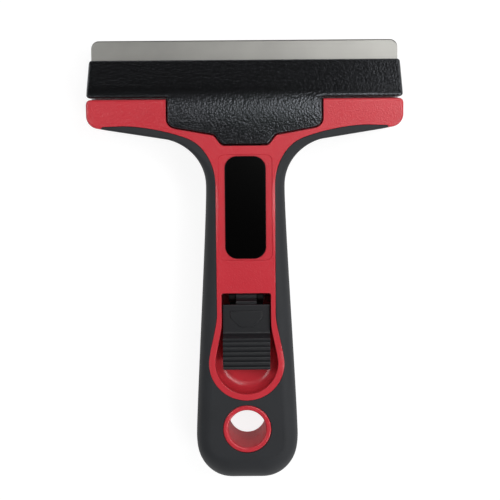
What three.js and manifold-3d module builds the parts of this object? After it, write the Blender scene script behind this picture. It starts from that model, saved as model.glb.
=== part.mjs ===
// Hand scraper for glass: a wide steel blade held in a rocking clamp jaw at the head of a
// two-shell handle with soft side grips. A thumb latch on the front draws a wedge back from
// under the jaw's tail, so that the jaw opens and the blade can be changed.
// Millimetres. +Y points to the blade, +Z out of the front face, and z = 0 is the rear face.
// The shapes are drawn with y measured from the butt; the last lines centre the part.

import * as THREE from 'three';
import { mergeVertices } from 'three/addons/utils/BufferGeometryUtils.js';
import Module from 'manifold-3d';

const wasm = await Module();
wasm.setup();

// Clearances
const seam = 0.3; // between pieces that are moulded or cut to fit each other
const slideGap = 0.4; // around the latch slider where the shells guide it
const pinGap = 0.08; // radial, where a piece turns on a pin
const bladeGap = 0.06; // above and below the blade in its seat
const seatGap = 0.1; // under the label plate and under the screws' heads
const weld = 0.5; // by which a rib or post runs into the wall that carries it
const reach = 200; // of cutting blocks that pass right through

// Handle body
const handleLength = 128;
const handleThickness = 20;
const shellWall = 2.2;
const gripThickness = 1.6;
const edgeRadius = 5; // rounding of the grip's edges
const buttEdgeRadius = 9.5; // rounding of its edge across the butt
const wingEdgeRadius = 1.2; // rounding of the wings' edges
const buttHalfWidth = 17.1;
const buttFlat = 5; // half of the straight stretch across the butt
const buttRound = 16; // length of the butt's rounded end
const buttFullness = 0.79; // share of the half-width where its corners pull out to
const buttRise = 0.47; // share of its length where they pull up to
const sideSwell = 14; // length over which the sides leave the butt
const sideSlant = 0.3; // inwards over that length
const neckHalfWidth = 13;
const neckFromFront = 28;
const neckBelow = 12; // length over which the sides come in to the neck
const neckAbove = 8.5; // length over which they leave it for the wings
const wingRootHalfWidth = 26.5;
const wingRootFromFront = 12.7;
const wingRootRun = 7; // of the curve into a wing's root
const wingRootRise = 1.1;
const wingOverJaw = 0.15; // of a wing's end past the jaw
const wingCorner = 4.2;
const wingSide = 3.36; // straight outer end of a wing
const wingFrontCorner = 1.8;
const coreFromFront = 3; // from that corner back to the end of the handle's core

// Red front land: a strip down the handle that ends in a ring round the thumb scoop
const landHalfWidth = 9.7;
const scoopFromButt = 41; // centre of the scoop's round end
const scoopRadius = 10.4;
const scoopRing = 2.1; // width of the land round the scoop
const scoopStraight = 7; // of its sides below the window's upper edge
const scoopEase = 3.5; // length over which the swell runs into them
const scoopSwell = 6; // length over which the round end opens
const scoopDepth = 6.4;
const scoopFillet = 3.4;
const scoopFloorWall = 1.6;
const windowHalfWidth = 8.15;
const windowReach = 23.5; // from the scoop's centre to the window's upper edge
const windowCorner = 0.8;
const windowLedge = 9.3; // from the scoop's centre to where its floor ends
const landShoulder = 8.9; // from the strip's side out to where the land turns along a wing
const landTipFromCorner = 7.3; // from a wing's corner in to the land's highest point
const landTipRise = 4.15; // of that point above the wing's root
const landEndDrop = 0.2; // from there to where the grip ends
const gripEndShort = 0.7; // from the grip's end to the centre of a wing's corner
const gripEndCorner = 0.7;
const overrun = 9; // of the land's outline past the wings

// Hang hole
const hangFromButt = 18.75;
const hangHoleRadius = 6.33;
const hangRingRadius = 8.05;

// Label plate and the panel round it
const labelWidth = 13.3;
const labelCorner = 3.2;
const labelThickness = 0.6;
const labelProud = 0.15;
const labelAboveWindow = 11.5;
const labelToTail = 3.85; // from its upper end to the jaw's tail
const panelMarginSide = 2.1;
const panelMarginEnd = 0.5;
const panelDepth = 0.25;
const panelCorner = 2;

// Blade
const bladeWidth = 101.6;
const bladeDepth = 18.6;
const bladeThickness = 0.6;
const bladeCorner = 2.6;
const bladeExposed = 6.8;
const bladeGrind = 1.4; // width of the ground bevel
const bladeEdge = 0.06; // thickness left at the cutting edge
const notchFromCentre = 25;
const notchDepth = 5.4;
const notchHalfWidth = 2.1;

// Clamp jaws
const jawOverBlade = 0.55; // of the bar past either end of the blade
const bladeRoom = 0.2; // from the bar's back edge to the blade's
const jawClearance = 1; // from the wings' front edge to the bar
const jawProud = 0.8; // of the front jaw's crest above the front face
const slopeEnd = 2; // from the bar's back edge to where its slope begins to round over
const slopeDrop = 1.8; // of that point below the crest
const crestFromTail = 9.2; // from the tail's edge to the crest
const crestRun = 5; // of the rounding before the crest
const tailDrop = 0.9; // of the tail's edge below the crest
const jawLip = 2.5; // thickness of a jaw at the mouth
const jawWall = 2.2;
const jawEnd = 0.8; // rounding of the bar's corners
const jawEdge = 1.2; // rounding of its upper edges
const jawLipDepth = 4.5; // of the clamping pad behind the mouth
const jawRibs = 5;
const jawRib = 1.6;
const bossHalfWidth = 25.1;
const bossFromFront = 9.2; // from the wings' front edge to the boss's lower corners
const bossCorner = 3;
const tailHalfWidth = 6.7;
const tailShoulder = 10.6; // half-width where the boss narrows to the tail
const tailFromFront = 14.65;
const tailLength = 3.4;
const tailBend = 1.6; // of the curves at either end of the tail's sides
const pocketGap = 0.65; // round the boss, so that the jaw can rock
const pocketDepth = 6.6; // of the pocket for the boss in either shell

// Jaw hinge
const jawOpenAngle = 5; // degrees
const jawAxisFromFront = 3.5;
const jawLugClear = 0.4; // between a hinge lug and the pocket's floor
const jawPinRadius = 1.1;
const jawLugRadius = 2.2;
const jawLugWidth = 3.4;
const jawLugFromCentre = 16.5;
const jawRibWidth = 3.4; // of the shell's rib beside the lug
const jawPinSeat = 2; // of the pin's outer end in the wing
const jawWire = 0.6;
const jawCoils = 3;

// Latch slider and thumb button
const latchTravel = 4.2;
const stemHalfWidth = 5.6;
const stemThickness = 3.3;
const stemBelowFloor = 0.4; // under the scoop's floor
const guideWall = 1.5; // of the ribs that guide the stem
const tongueHalfWidth = 5;
const tongueGap = 0.5; // between the tongue and the front wall
const wedgeReach = 6.5; // of the tongue past the jaw's tail edge
const wedgeClearance = 0.2;
const tailPad = 1; // width of the pad that the wedge carries
const footThickness = 2.5;
const footHalfWidth = 4;
const buttonSideGap = 0.3; // to the window's sides
const buttonBelowWindow = 3.9; // from the window's upper edge to the button
const buttonBelowScoop = 2; // from the scoop's centre to the button's lower end
const buttonFlatDepth = 1.6; // of its flat pad below the front face
const buttonCrest = 0.7; // of its ribs above the front face
const buttonEndThickness = 3.3;
const buttonFlatLength = 9.6;
const buttonRamp = 1.6;
const buttonCorner = 0.8;
const knuckleRoot = 1.5; // of the hinge knuckle under the pad
const ribCount = 7;
const ribPitch = 1.66;
const ribGroove = 0.55;
const arrowWidth = 10.6;
const arrowTip = 4.4;
const arrowLength = 5.4;
const arrowSide = 2.2; // of its straight sides
const arrowFromRamp = 2;
const arrowHeight = 0.3;
const pivotAhead = 2.2; // of the button's hinge past its upper edge
const pivotClear = 0.1; // between the hinge knuckle and the stem under it
const pivotRadius = 1;
const knuckleHalfWidth = 3.45;
const knuckleRadius = 2.1;
const earThickness = 2;

// Springs
const returnWire = 0.7;
const returnClearance = 0.95; // from the coil to the rear wall
const returnLength = 11;
const returnTurns = 6;
const leafThickness = 0.2;
const leafHalfWidth = 2.4;
const leafLength = 9.2;
const leafRise = 1.7;
const leafNoseFlat = 1;

// Screws
const screwHeadRadius = 2.6;
const screwHeadHeight = 2;
const screwHeadRound = 0.7; // of the head's edge
const screwRadius = 1.3;
const screwSink = 1; // of the heads below the rear face
const bossWall = 0.8; // of the posts that take the screws
const threadWall = 0.8; // left over the end of a screw's hole
const tipRoom = 0.7; // between a screw's tip and that end
const neckScrewAhead = 4.6; // past the window's upper edge
const buttScrewX = 9.5;
const buttScrewY = 10;
const jawScrewX = 18;
const jawScrewFromFront = 5.6;

// Levels, up from the rear face
const mid = handleThickness / 2;
const face = handleThickness;
const splitLevel = mid + seam / 2; // where the front half begins
const ceiling = face - shellWall;
const pocketFloor = face - pocketDepth;
const scoopFloor = face - scoopDepth;
const stemTop = scoopFloor - scoopFloorWall - stemBelowFloor;
const stemBottom = stemTop - stemThickness;
const returnRadius = (stemBottom - shellWall - returnClearance - returnWire / 2) / 2;
const bladeTop = mid + bladeThickness / 2;
const bladeBottom = mid - bladeThickness / 2;
const frontJawLow = bladeTop + bladeGap;
const jawAxisZ = pocketFloor + jawLugRadius + jawLugClear;
const pivotZ = stemTop + knuckleRadius + pivotClear;
const crest = face + jawProud;
const plateLow = crest - jawWall; // underside of the front jaw's upper wall
const hingeRibRadius = plateLow - jawLugClear - jawAxisZ;

// Widths that follow what they fit
const jawHalfWidth = bladeWidth / 2 + jawOverBlade;
const wingHalfWidth = jawHalfWidth + wingOverJaw;
const buttonHalfWidth = windowHalfWidth - buttonSideGap;
const bossRadius = screwHeadRadius + seam + bossWall;

// Places along the handle, up from the butt
const barBack = handleLength + jawClearance;
const jawDepth = bladeDepth - bladeExposed + bladeRoom;
const mouth = barBack + jawDepth;
const bladeFront = mouth + bladeExposed;
const bladeBack = bladeFront - bladeDepth;
const tailY = handleLength - tailFromFront;
const jawAxisY = handleLength - jawAxisFromFront;
const windowTop = scoopFromButt + windowReach;
const ledgeY = scoopFromButt + windowLedge;
const buttonLow = scoopFromButt - buttonBelowScoop;
const buttonHigh = windowTop - buttonBelowWindow;
const pivotY = buttonHigh + pivotAhead;
const labelLow = windowTop + labelAboveWindow;
const labelHigh = tailY - labelToTail;
const neckScrewY = windowTop + neckScrewAhead;
const jawScrewY = handleLength - jawScrewFromFront;
const footY = ledgeY - latchTravel; // lower face of the slider's foot
const springSeatY = footY - returnLength;
const tongueTipY = tailY + wedgeReach;

const point = (x, y) => new THREE.Vector2(x, y);
const curveSteps = 5;
const pinSides = 16;
const holeSides = 20;
const ringSides = 32;

// Building blocks

// A closed geometry becomes a solid that can be joined and cut.
function solidOf(geometry) {
  const bare = geometry.clone();
  bare.deleteAttribute('normal');
  bare.deleteAttribute('uv');
  const merged = mergeVertices(bare, 1e-4);
  const vertProperties = Float32Array.from(merged.attributes.position.array);
  const triVerts = Uint32Array.from(merged.index.array);
  return new wasm.Manifold(new wasm.Mesh({ numProp: 3, vertProperties, triVerts }));
}

// A solid becomes a named mesh.
function piece(name, solid, material) {
  const { vertProperties, triVerts } = solid.getMesh();
  const geometry = new THREE.BufferGeometry();
  geometry.setAttribute('position', new THREE.BufferAttribute(Float32Array.from(vertProperties), 3));
  geometry.setIndex(new THREE.BufferAttribute(Uint32Array.from(triVerts), 1));
  geometry.computeVertexNormals();
  const mesh = new THREE.Mesh(geometry, material);
  mesh.name = name;
  return mesh;
}

// The rear half is drawn like the front one and turned over.
function turnedOver(mesh) {
  mesh.rotation.y = Math.PI;
  mesh.position.z = handleThickness;
  return mesh;
}

// An outline in plan, raised from one level to another.
function prism(points, low, high) {
  const geometry = new THREE.ExtrudeGeometry(new THREE.Shape(points), {
    depth: high - low,
    bevelEnabled: false,
  });
  return solidOf(geometry.translate(0, 0, low));
}

// A side profile of (y, z) points, carried across the handle from one x to another.
function across(profile, left, right) {
  const geometry = new THREE.ExtrudeGeometry(new THREE.Shape(profile), {
    depth: right - left,
    bevelEnabled: false,
  });
  const turn = new THREE.Matrix4().makeBasis(
    new THREE.Vector3(0, 1, 0),
    new THREE.Vector3(0, 0, 1),
    new THREE.Vector3(1, 0, 0),
  );
  return solidOf(geometry.translate(0, 0, left).applyMatrix4(turn));
}

function block(x0, x1, y0, y1, z0, z1) {
  const geometry = new THREE.BoxGeometry(x1 - x0, y1 - y0, z1 - z0);
  return solidOf(geometry.translate((x0 + x1) / 2, (y0 + y1) / 2, (z0 + z1) / 2));
}

// A block that is the same on both sides of the middle.
const middleBlock = (halfWidth, y0, y1, z0, z1) => block(-halfWidth, halfWidth, y0, y1, z0, z1);

function post(x, y, radius, low, high, sides = holeSides) {
  const geometry = new THREE.CylinderGeometry(radius, radius, high - low, sides).rotateX(Math.PI / 2);
  return solidOf(geometry.translate(x, y, (low + high) / 2));
}

function rod(y, z, radius, left, right, sides = pinSides) {
  const geometry = new THREE.CylinderGeometry(radius, radius, right - left, sides).rotateZ(Math.PI / 2);
  return solidOf(geometry.translate((left + right) / 2, y, z));
}

// Half an outline, from the middle of its lower end to the middle of its upper end, completed
// by its mirror image. Points that lie on a straight stretch are left out.
function mirrored(halfOutline) {
  const other = halfOutline.filter((p) => p.x > 1e-6).reverse();
  const points = [...halfOutline, ...other.map((p) => point(-p.x, p.y))];
  return points.filter((p, i) => {
    const before = p.clone().sub(points.at(i - 1)).normalize();
    const after = points[(i + 1) % points.length].clone().sub(p).normalize();
    return Math.abs(before.cross(after)) > 1e-5;
  });
}

function pathPoints(path) {
  const points = path.getPoints(curveSteps);
  return points.filter((p, i) => i === 0 || p.distanceTo(points[i - 1]) > 1e-3);
}

// Moves each point of a closed outline inwards, by an amount that may differ from point to point.
function insetOutline(points, amount) {
  const count = points.length;
  return points.map((p, i) => {
    const before = p.clone().sub(points[(i + count - 1) % count]).normalize();
    const after = points[(i + 1) % count].clone().sub(p).normalize();
    const normal = point(-before.y - after.y, before.x + after.x).normalize();
    const miter = Math.max(0.6, -before.y * normal.x + before.x * normal.y);
    return p.clone().addScaledVector(normal, amount(p, i) / miter);
  });
}

// An outline raised from one level to another, with its upper edge rounded by a radius that may
// differ from point to point.
function pillow(points, radiusAt, low, high, steps = 3) {
  const rings = [points.map((p) => [p.x, p.y, low])];
  for (let step = 0; step <= steps; step += 1) {
    const angle = (Math.PI / 2) * (step / steps);
    const ring = insetOutline(points, (p, i) => radiusAt(p, i) * (1 - Math.cos(angle)));
    rings.push(ring.map((p, i) => [p.x, p.y, high - radiusAt(points[i], i) * (1 - Math.sin(angle))]));
  }
  const count = points.length;
  const index = [];
  for (let ring = 0; ring < rings.length - 1; ring += 1) {
    for (let i = 0; i < count; i += 1) {
      const a = ring * count + i;
      const b = ring * count + ((i + 1) % count);
      index.push(a, b, b + count, a, b + count, a + count);
    }
  }
  const lastRing = (rings.length - 1) * count;
  const plan = (ring) => ring.map(([x, y]) => point(x, y));
  for (const [a, b, c] of THREE.ShapeUtils.triangulateShape(plan(rings[0]), [])) index.push(a, c, b);
  for (const [a, b, c] of THREE.ShapeUtils.triangulateShape(plan(rings.at(-1)), [])) {
    index.push(lastRing + a, lastRing + b, lastRing + c);
  }
  const geometry = new THREE.BufferGeometry();
  geometry.setAttribute('position', new THREE.Float32BufferAttribute(rings.flat(2), 3));
  geometry.setIndex(index);
  return geometry;
}

// A pillow hung upside down: a hollow with a rounded bottom edge, open upwards.
function bowl(points, radiusAt, floor, top) {
  return solidOf(pillow(points, radiusAt, -top, -floor).rotateY(Math.PI));
}

function roundedRectangle(halfWidth, low, high, corner) {
  const path = new THREE.Path();
  path.moveTo(0, low);
  path.absarc(halfWidth - corner, low + corner, corner, -Math.PI / 2, 0, false);
  path.absarc(halfWidth - corner, high - corner, corner, 0, Math.PI / 2, false);
  path.lineTo(0, high);
  return mirrored(pathPoints(path));
}

// A round wire along a curve.
function wire(curve, radius, steps) {
  const sides = 5;
  const section = Array.from({ length: sides }, (_, i) => {
    const angle = (2 * Math.PI * i) / sides;
    return point(radius * Math.cos(angle), radius * Math.sin(angle));
  });
  return solidOf(new THREE.ExtrudeGeometry(new THREE.Shape(section), { steps, extrudePath: curve }));
}

// Outlines in plan

const wingCornerLow = -0.45 * Math.PI; // where a wing's round corner meets its sloping underside
const neckY = handleLength - neckFromFront;
const wingRootY = handleLength - wingRootFromFront;
const wingCornerX = wingHalfWidth - wingCorner;
const wingCornerY = handleLength - wingFrontCorner - wingSide;

// Right side of the handle, from the middle of the butt up to the wing's round corner.
function sidePath() {
  const path = new THREE.Path();
  path.moveTo(0, 0);
  path.lineTo(buttFlat, 0);
  path.bezierCurveTo(
    buttHalfWidth * buttFullness, 0, buttHalfWidth, buttRound * buttRise, buttHalfWidth, buttRound,
  );
  path.bezierCurveTo(
    buttHalfWidth - sideSlant, buttRound + sideSwell,
    neckHalfWidth, neckY - neckBelow,
    neckHalfWidth, neckY,
  );
  path.bezierCurveTo(
    neckHalfWidth, neckY + neckAbove,
    wingRootHalfWidth - wingRootRun, wingRootY - wingRootRise,
    wingRootHalfWidth, wingRootY,
  );
  path.lineTo(
    wingCornerX + wingCorner * Math.cos(wingCornerLow),
    wingCornerY + wingCorner * Math.sin(wingCornerLow),
  );
  return path;
}

function bodyOutline() {
  const path = sidePath();
  path.absarc(wingCornerX, wingCornerY, wingCorner, wingCornerLow, 0, false);
  path.lineTo(wingHalfWidth, handleLength - wingFrontCorner);
  path.quadraticCurveTo(wingHalfWidth, handleLength, wingHalfWidth - wingFrontCorner, handleLength);
  path.lineTo(0, handleLength);
  return mirrored(pathPoints(path));
}

// The handle under its grip: the same side line moved inwards, closed across the wings.
function coreOutline(inset) {
  const side = pathPoints(sidePath());
  const top = handleLength - wingFrontCorner - coreFromFront;
  const moved = insetOutline(side, () => inset).slice(1, -1);
  const end = side.at(-1);
  return mirrored([point(0, inset), ...moved, point(end.x, top), point(0, top)]);
}

// The edge's rounding runs from the butt's, inside half the thickness, to the grip's and then to
// the wings', which stays inside their front corner.
const wingEdge = Math.min(wingEdgeRadius, 0.7 * wingFrontCorner);
const buttEdge = Math.min(buttEdgeRadius, face - splitLevel - seam);
const edgeAt = (p) => {
  const fromButt = THREE.MathUtils.smoothstep(p.y, 0, 0.75 * buttRound);
  const toWing = THREE.MathUtils.smoothstep(p.y, neckY - neckBelow / 3, wingRootY);
  const grip = THREE.MathUtils.lerp(buttEdge, edgeRadius, fromButt);
  return THREE.MathUtils.lerp(grip, wingEdge, toWing);
};

// Tear-drop round the thumb scoop: straight sides that swell into a round lower end.
function tearDrop(path, halfWidth, radius) {
  const rise = Math.PI / 18;
  const straight = windowTop - scoopStraight;
  path.moveTo(0, scoopFromButt - radius);
  path.absarc(0, scoopFromButt, radius, -Math.PI / 2, rise, false);
  path.bezierCurveTo(
    radius * Math.cos(rise) - scoopSwell * Math.sin(rise),
    scoopFromButt + radius * Math.sin(rise) + scoopSwell,
    halfWidth, straight - scoopEase,
    halfWidth, straight,
  );
  return path;
}

// Everything that shows red on a face, running out past the wings.
function landOutline() {
  const path = tearDrop(new THREE.Path(), landHalfWidth, scoopRadius + scoopRing);
  const shoulderX = landHalfWidth + landShoulder;
  const tipX = wingCornerX - landTipFromCorner;
  const tipY = wingRootY + landTipRise;
  const endX = wingCornerX - gripEndShort;
  const endY = tipY - landEndDrop;
  const turn = 0.6 * landShoulder;
  const fall = 0.24 * landShoulder;
  path.lineTo(landHalfWidth, neckY);
  path.bezierCurveTo(
    landHalfWidth, neckY + neckAbove * 0.8, shoulderX - turn, wingRootY - fall, shoulderX, wingRootY,
  );
  path.bezierCurveTo(
    shoulderX + turn, wingRootY + fall, tipX - wingRootRun, tipY, tipX, tipY,
  );
  path.lineTo(endX - gripEndCorner, endY);
  path.quadraticCurveTo(endX, endY, endX, endY - gripEndCorner);
  path.lineTo(endX, wingRootY);
  path.lineTo(wingHalfWidth + overrun, wingRootY);
  path.lineTo(wingHalfWidth + overrun, handleLength + overrun);
  path.lineTo(0, handleLength + overrun);
  return mirrored(pathPoints(path));
}

function scoopOutline() {
  const path = tearDrop(new THREE.Path(), windowHalfWidth, scoopRadius);
  path.lineTo(windowHalfWidth, windowTop - windowCorner);
  path.quadraticCurveTo(windowHalfWidth, windowTop, windowHalfWidth - windowCorner, windowTop);
  path.lineTo(0, windowTop);
  return mirrored(pathPoints(path));
}

// The scoop's floor is rounded into its wall at the round end, and less and less up to the window.
const scoopEdgeAt = (p) => {
  const blend = THREE.MathUtils.smoothstep(p.y, scoopFromButt, windowTop - windowCorner);
  return THREE.MathUtils.lerp(scoopFillet, windowCorner / 2, blend);
};

// Right side of the jaw's boss, from the tail's edge up to a level inside the bar.
function bossSide(top) {
  const low = handleLength - bossFromFront;
  const path = new THREE.Path();
  path.moveTo(tailHalfWidth, tailY);
  path.bezierCurveTo(
    tailHalfWidth + tailBend, tailY,
    tailShoulder - tailBend, tailY + tailLength - tailBend / 5,
    tailShoulder, tailY + tailLength,
  );
  path.lineTo(bossHalfWidth - bossCorner, low);
  path.quadraticCurveTo(bossHalfWidth, low + bossCorner / 6, bossHalfWidth, low + bossCorner);
  path.lineTo(bossHalfWidth, top);
  return pathPoints(path);
}

const bossOutline = (top) => mirrored([point(0, tailY), ...bossSide(top), point(0, top)]);

const outline = bodyOutline();
const land = landOutline();
const scoop = scoopOutline();
const grown = (points, amount) => insetOutline(points, () => -amount);

// Handle halves, both drawn with their outer face up

const gripLevel = face - gripThickness;
const coreLevel = gripLevel - seam;
const coreEdgeAt = (inset) => (p) => Math.max(0.4, edgeAt(p) - inset);

const halfBody = solidOf(pillow(outline, edgeAt, splitLevel, face));
const landBlock = prism(land, mid, face + 1);
const coreInset = gripThickness + seam;
const core = solidOf(pillow(coreOutline(coreInset), coreEdgeAt(coreInset), splitLevel, coreLevel));
const fullHalf = halfBody.intersect(landBlock).add(core)
  .add(post(0, hangFromButt, hangRingRadius, splitLevel, face, ringSides));
const hangHole = post(0, hangFromButt, hangHoleRadius, -1, face + 1, ringSides);

// Hollow of the handle, and of one wing, up to the wall under the face.
const hollowLow = springSeatY - footThickness - seam;
const hollowHigh = tailY - pocketGap - shellWall;
const handleHollow = prism(coreOutline(coreInset + shellWall), mid - 1, ceiling)
  .intersect(middleBlock(reach, hollowLow, hollowHigh, 0, face));

const wingHollowInner = bossHalfWidth + pocketGap + jawPinSeat + shellWall;
function wingHollow(side) {
  const inner = side * wingHollowInner;
  const outer = side * (wingHalfWidth - shellWall - wingEdgeRadius);
  const low = wingCornerY - wingCorner + shellWall + gripThickness;
  const high = handleLength - shellWall;
  return block(Math.min(inner, outer), Math.max(inner, outer), low, high, mid - 1, ceiling);
}

const hollowHalf = fullHalf
  .subtract(handleHollow)
  .subtract(wingHollow(-1))
  .subtract(wingHollow(1))
  .subtract(hangHole);

// The soft grip is moulded over the handle's sides and butt, round the land and the hang ring.
const softGrip = halfBody
  .subtract(prism(grown(land, seam), mid, face + 1))
  .subtract(solidOf(pillow(coreOutline(gripThickness), coreEdgeAt(gripThickness), mid, gripLevel)))
  .subtract(post(0, hangFromButt, hangRingRadius + seam, mid, face + 1, ringSides));

// Screws: each place is (x, y), the rear shell carries the head and the front shell the thread.
const buttScrews = [point(-buttScrewX, buttScrewY), point(buttScrewX, buttScrewY)];
const neckScrew = point(0, neckScrewY);
const jawScrews = [point(-jawScrewX, jawScrewY), point(jawScrewX, jawScrewY)];
const headFloor = screwSink + screwHeadHeight + seatGap; // level that a head bears on
const holeEnd = ceiling - threadWall;
const jawHoleEnd = pocketFloor - threadWall;
const threadHole = (p, top) => post(p.x, p.y, screwRadius + pinGap, mid - 1, top);
const headHole = (p, low, high) => post(p.x, p.y, screwHeadRadius + seam, low, high);

// Front shell: land with panel, label seat, window and scoop, jaw pocket and hinge ribs.
const jawPocket = prism(grown(bossOutline(reach), pocketGap), pocketFloor, face + 2);
const lugInner = jawLugFromCentre - jawLugWidth / 2;
const lugOuter = jawLugFromCentre + jawLugWidth / 2;
const ribOuter = lugInner - seam;
const ribInner = ribOuter - jawRibWidth;
const pinOuter = bossHalfWidth + pocketGap + jawPinSeat;

// A hinge rib or lug: an upright whose end is round about the pin's axis.
function hingeUpright(left, right, radius, from, to, y = jawAxisY, z = jawAxisZ) {
  return rod(y, z, radius, left, right, holeSides)
    .add(block(left, right, y - radius, y + radius, Math.min(from, to), Math.max(from, to)));
}

const bothSides = (make) => make(-1).add(make(1));
const spanOf = (side, inner, outer) => (side < 0 ? [-outer, -inner] : [inner, outer]);

const hingeRibs = bothSides((side) => (
  hingeUpright(...spanOf(side, ribInner, ribOuter), hingeRibRadius, splitLevel, jawAxisZ)
));
const hingePinHoles = bothSides((side) => (
  rod(jawAxisY, jawAxisZ, jawPinRadius + pinGap, ...spanOf(side, ribInner - 1, pinOuter + seam), holeSides)
));

const labelFloor = face + labelProud - labelThickness - seatGap;
const labelSeat = prism(
  roundedRectangle(labelWidth / 2 + seam / 2, labelLow - seam / 2, labelHigh + seam / 2, labelCorner),
  labelFloor, face + 1,
);
const panel = prism(
  roundedRectangle(
    labelWidth / 2 + panelMarginSide, labelLow - panelMarginEnd, labelHigh + panelMarginEnd, panelCorner,
  ),
  face - panelDepth, face + 1,
);

// Ribs under the front wall keep the slider's stem straight and down on its rails.
const tongueBottom = pocketFloor + seam;
const tongueTop = ceiling - tongueGap;
const bendHigh = hollowHigh - 1; // where the stem has risen to the tongue
const bendLow = bendHigh - (tongueBottom - stemBottom);
const guideLow = neckScrewY + bossRadius + latchTravel + shellWall;
const guideHigh = bendLow - stemThickness - seam;
const guideInner = stemHalfWidth + slideGap;
const guideRibs = bothSides((side) => block(
  ...spanOf(side, guideInner, guideInner + guideWall), guideLow, guideHigh, splitLevel, ceiling + weld,
)).add(bothSides((side) => block(
  ...spanOf(side, stemHalfWidth - shellWall, guideInner + guideWall),
  guideLow, guideLow + guideWall, stemTop + slideGap, ceiling + weld,
)));

const tonguePort = middleBlock(
  tongueHalfWidth + slideGap, hollowHigh - 1, tailY, pocketFloor, tongueTop + slideGap,
);
const scoopBlock = fullHalf
  .intersect(prism(grown(scoop, shellWall), scoopFloor - scoopFloorWall, face + 1))
  .intersect(middleBlock(reach, 0, windowTop, 0, reach));
const threadPost = (p, top) => post(p.x, p.y, bossRadius, splitLevel, top);

const frontShell = hollowHalf
  .add(scoopBlock)
  .add(guideRibs)
  .add(threadPost(neckScrew, ceiling + weld))
  .subtract(panel)
  .subtract(labelSeat)
  .subtract(bowl(scoop, scoopEdgeAt, scoopFloor, face + 1))
  .subtract(middleBlock(windowHalfWidth, ledgeY, windowTop, mid, face + 1))
  .subtract(jawPocket)
  .add(hingeRibs)
  .subtract(hingePinHoles)
  .subtract(tonguePort)
  .subtract(threadHole(neckScrew, holeEnd))
  .subtract(threadHole(buttScrews[0], holeEnd))
  .subtract(threadHole(buttScrews[1], holeEnd))
  .subtract(threadHole(jawScrews[0], jawHoleEnd))
  .subtract(threadHole(jawScrews[1], jawHoleEnd));

// Rear shell, drawn face up and turned over: z here is measured up from the front face.
const over = (level) => handleThickness - level;
const rearPocketGap = seam;
const rearPocket = prism(grown(bossOutline(reach), rearPocketGap), pocketFloor, face + 1);
const railTop = over(stemBottom - seam);
const rails = bothSides((side) => block(
  ...spanOf(side, stemHalfWidth - shellWall, stemHalfWidth - shellWall / 3),
  ledgeY, guideHigh, railTop, ceiling + weld,
));
const springSeat = middleBlock(
  footHalfWidth + 1, springSeatY - shellWall, springSeatY - seam, splitLevel, ceiling + weld,
);
const rearHeadSeat = over(headFloor);
const rearHoles = (p) => post(p.x, p.y, screwRadius + pinGap, mid - 1, face + 1)
  .add(headHole(p, rearHeadSeat, face + 1));

const rearShell = hollowHalf
  .subtract(rearPocket)
  .add(rails)
  .add(springSeat)
  .add(threadPost(neckScrew, ceiling + weld))
  .subtract(rearHoles(neckScrew))
  .subtract(rearHoles(buttScrews[0]))
  .subtract(rearHoles(buttScrews[1]))
  .subtract(post(jawScrews[0].x, jawScrewY, screwRadius + pinGap, mid - 1, face))
  .subtract(post(jawScrews[1].x, jawScrewY, screwRadius + pinGap, mid - 1, face));
const rearGrip = softGrip
  .subtract(headHole(buttScrews[0], mid, face + 1))
  .subtract(headHole(buttScrews[1], mid, face + 1));

// Jaws: a wedge-shaped bar across the head, and a boss that lies in the shell's pocket.
function jawBar(back, low, top) {
  const profile = new THREE.Path();
  profile.moveTo(back, low);
  profile.lineTo(mouth, low);
  profile.lineTo(mouth, mid + jawLip - jawEdge / 2);
  profile.quadraticCurveTo(mouth, mid + jawLip, mouth - jawEdge / 2, mid + jawLip + jawEdge / 4);
  profile.lineTo(back + 1.6 * jawEdge, top - jawEdge / 4);
  profile.quadraticCurveTo(back, top, back, top - jawEdge);
  const bar = across(pathPoints(profile), -reach, reach);
  return bar.intersect(prism(roundedRectangle(jawHalfWidth, back, mouth, jawEnd), low - 1, top + 1));
}

// Line of the front jaw's upper face in (y, z): up the bar's slope, over the crest, down to the tail.
function crownLine() {
  const rise = (crest - slopeDrop - mid - jawLip) / (jawDepth - slopeEnd);
  const crestY = tailY + crestFromTail;
  const slopeY = barBack + slopeEnd;
  const path = new THREE.Path();
  path.moveTo(mouth, mid + jawLip);
  path.lineTo(slopeY, crest - slopeDrop);
  path.bezierCurveTo(
    slopeY - slopeEnd, crest - slopeDrop + rise * slopeEnd, crestY + crestRun, crest, crestY, crest,
  );
  path.bezierCurveTo(
    crestY - crestFromTail / 3, crest, tailY + crestFromTail / 3, crest - tailDrop / 2,
    tailY, crest - tailDrop,
  );
  return pathPoints(path);
}

const crown = crownLine();
const crownAt = (y) => {
  const next = Math.max(1, crown.findIndex((p) => p.x <= y));
  const [from, to] = [crown[next - 1], crown[next]];
  return THREE.MathUtils.mapLinear(y, from.x, to.x, from.y, to.y);
};

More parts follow.
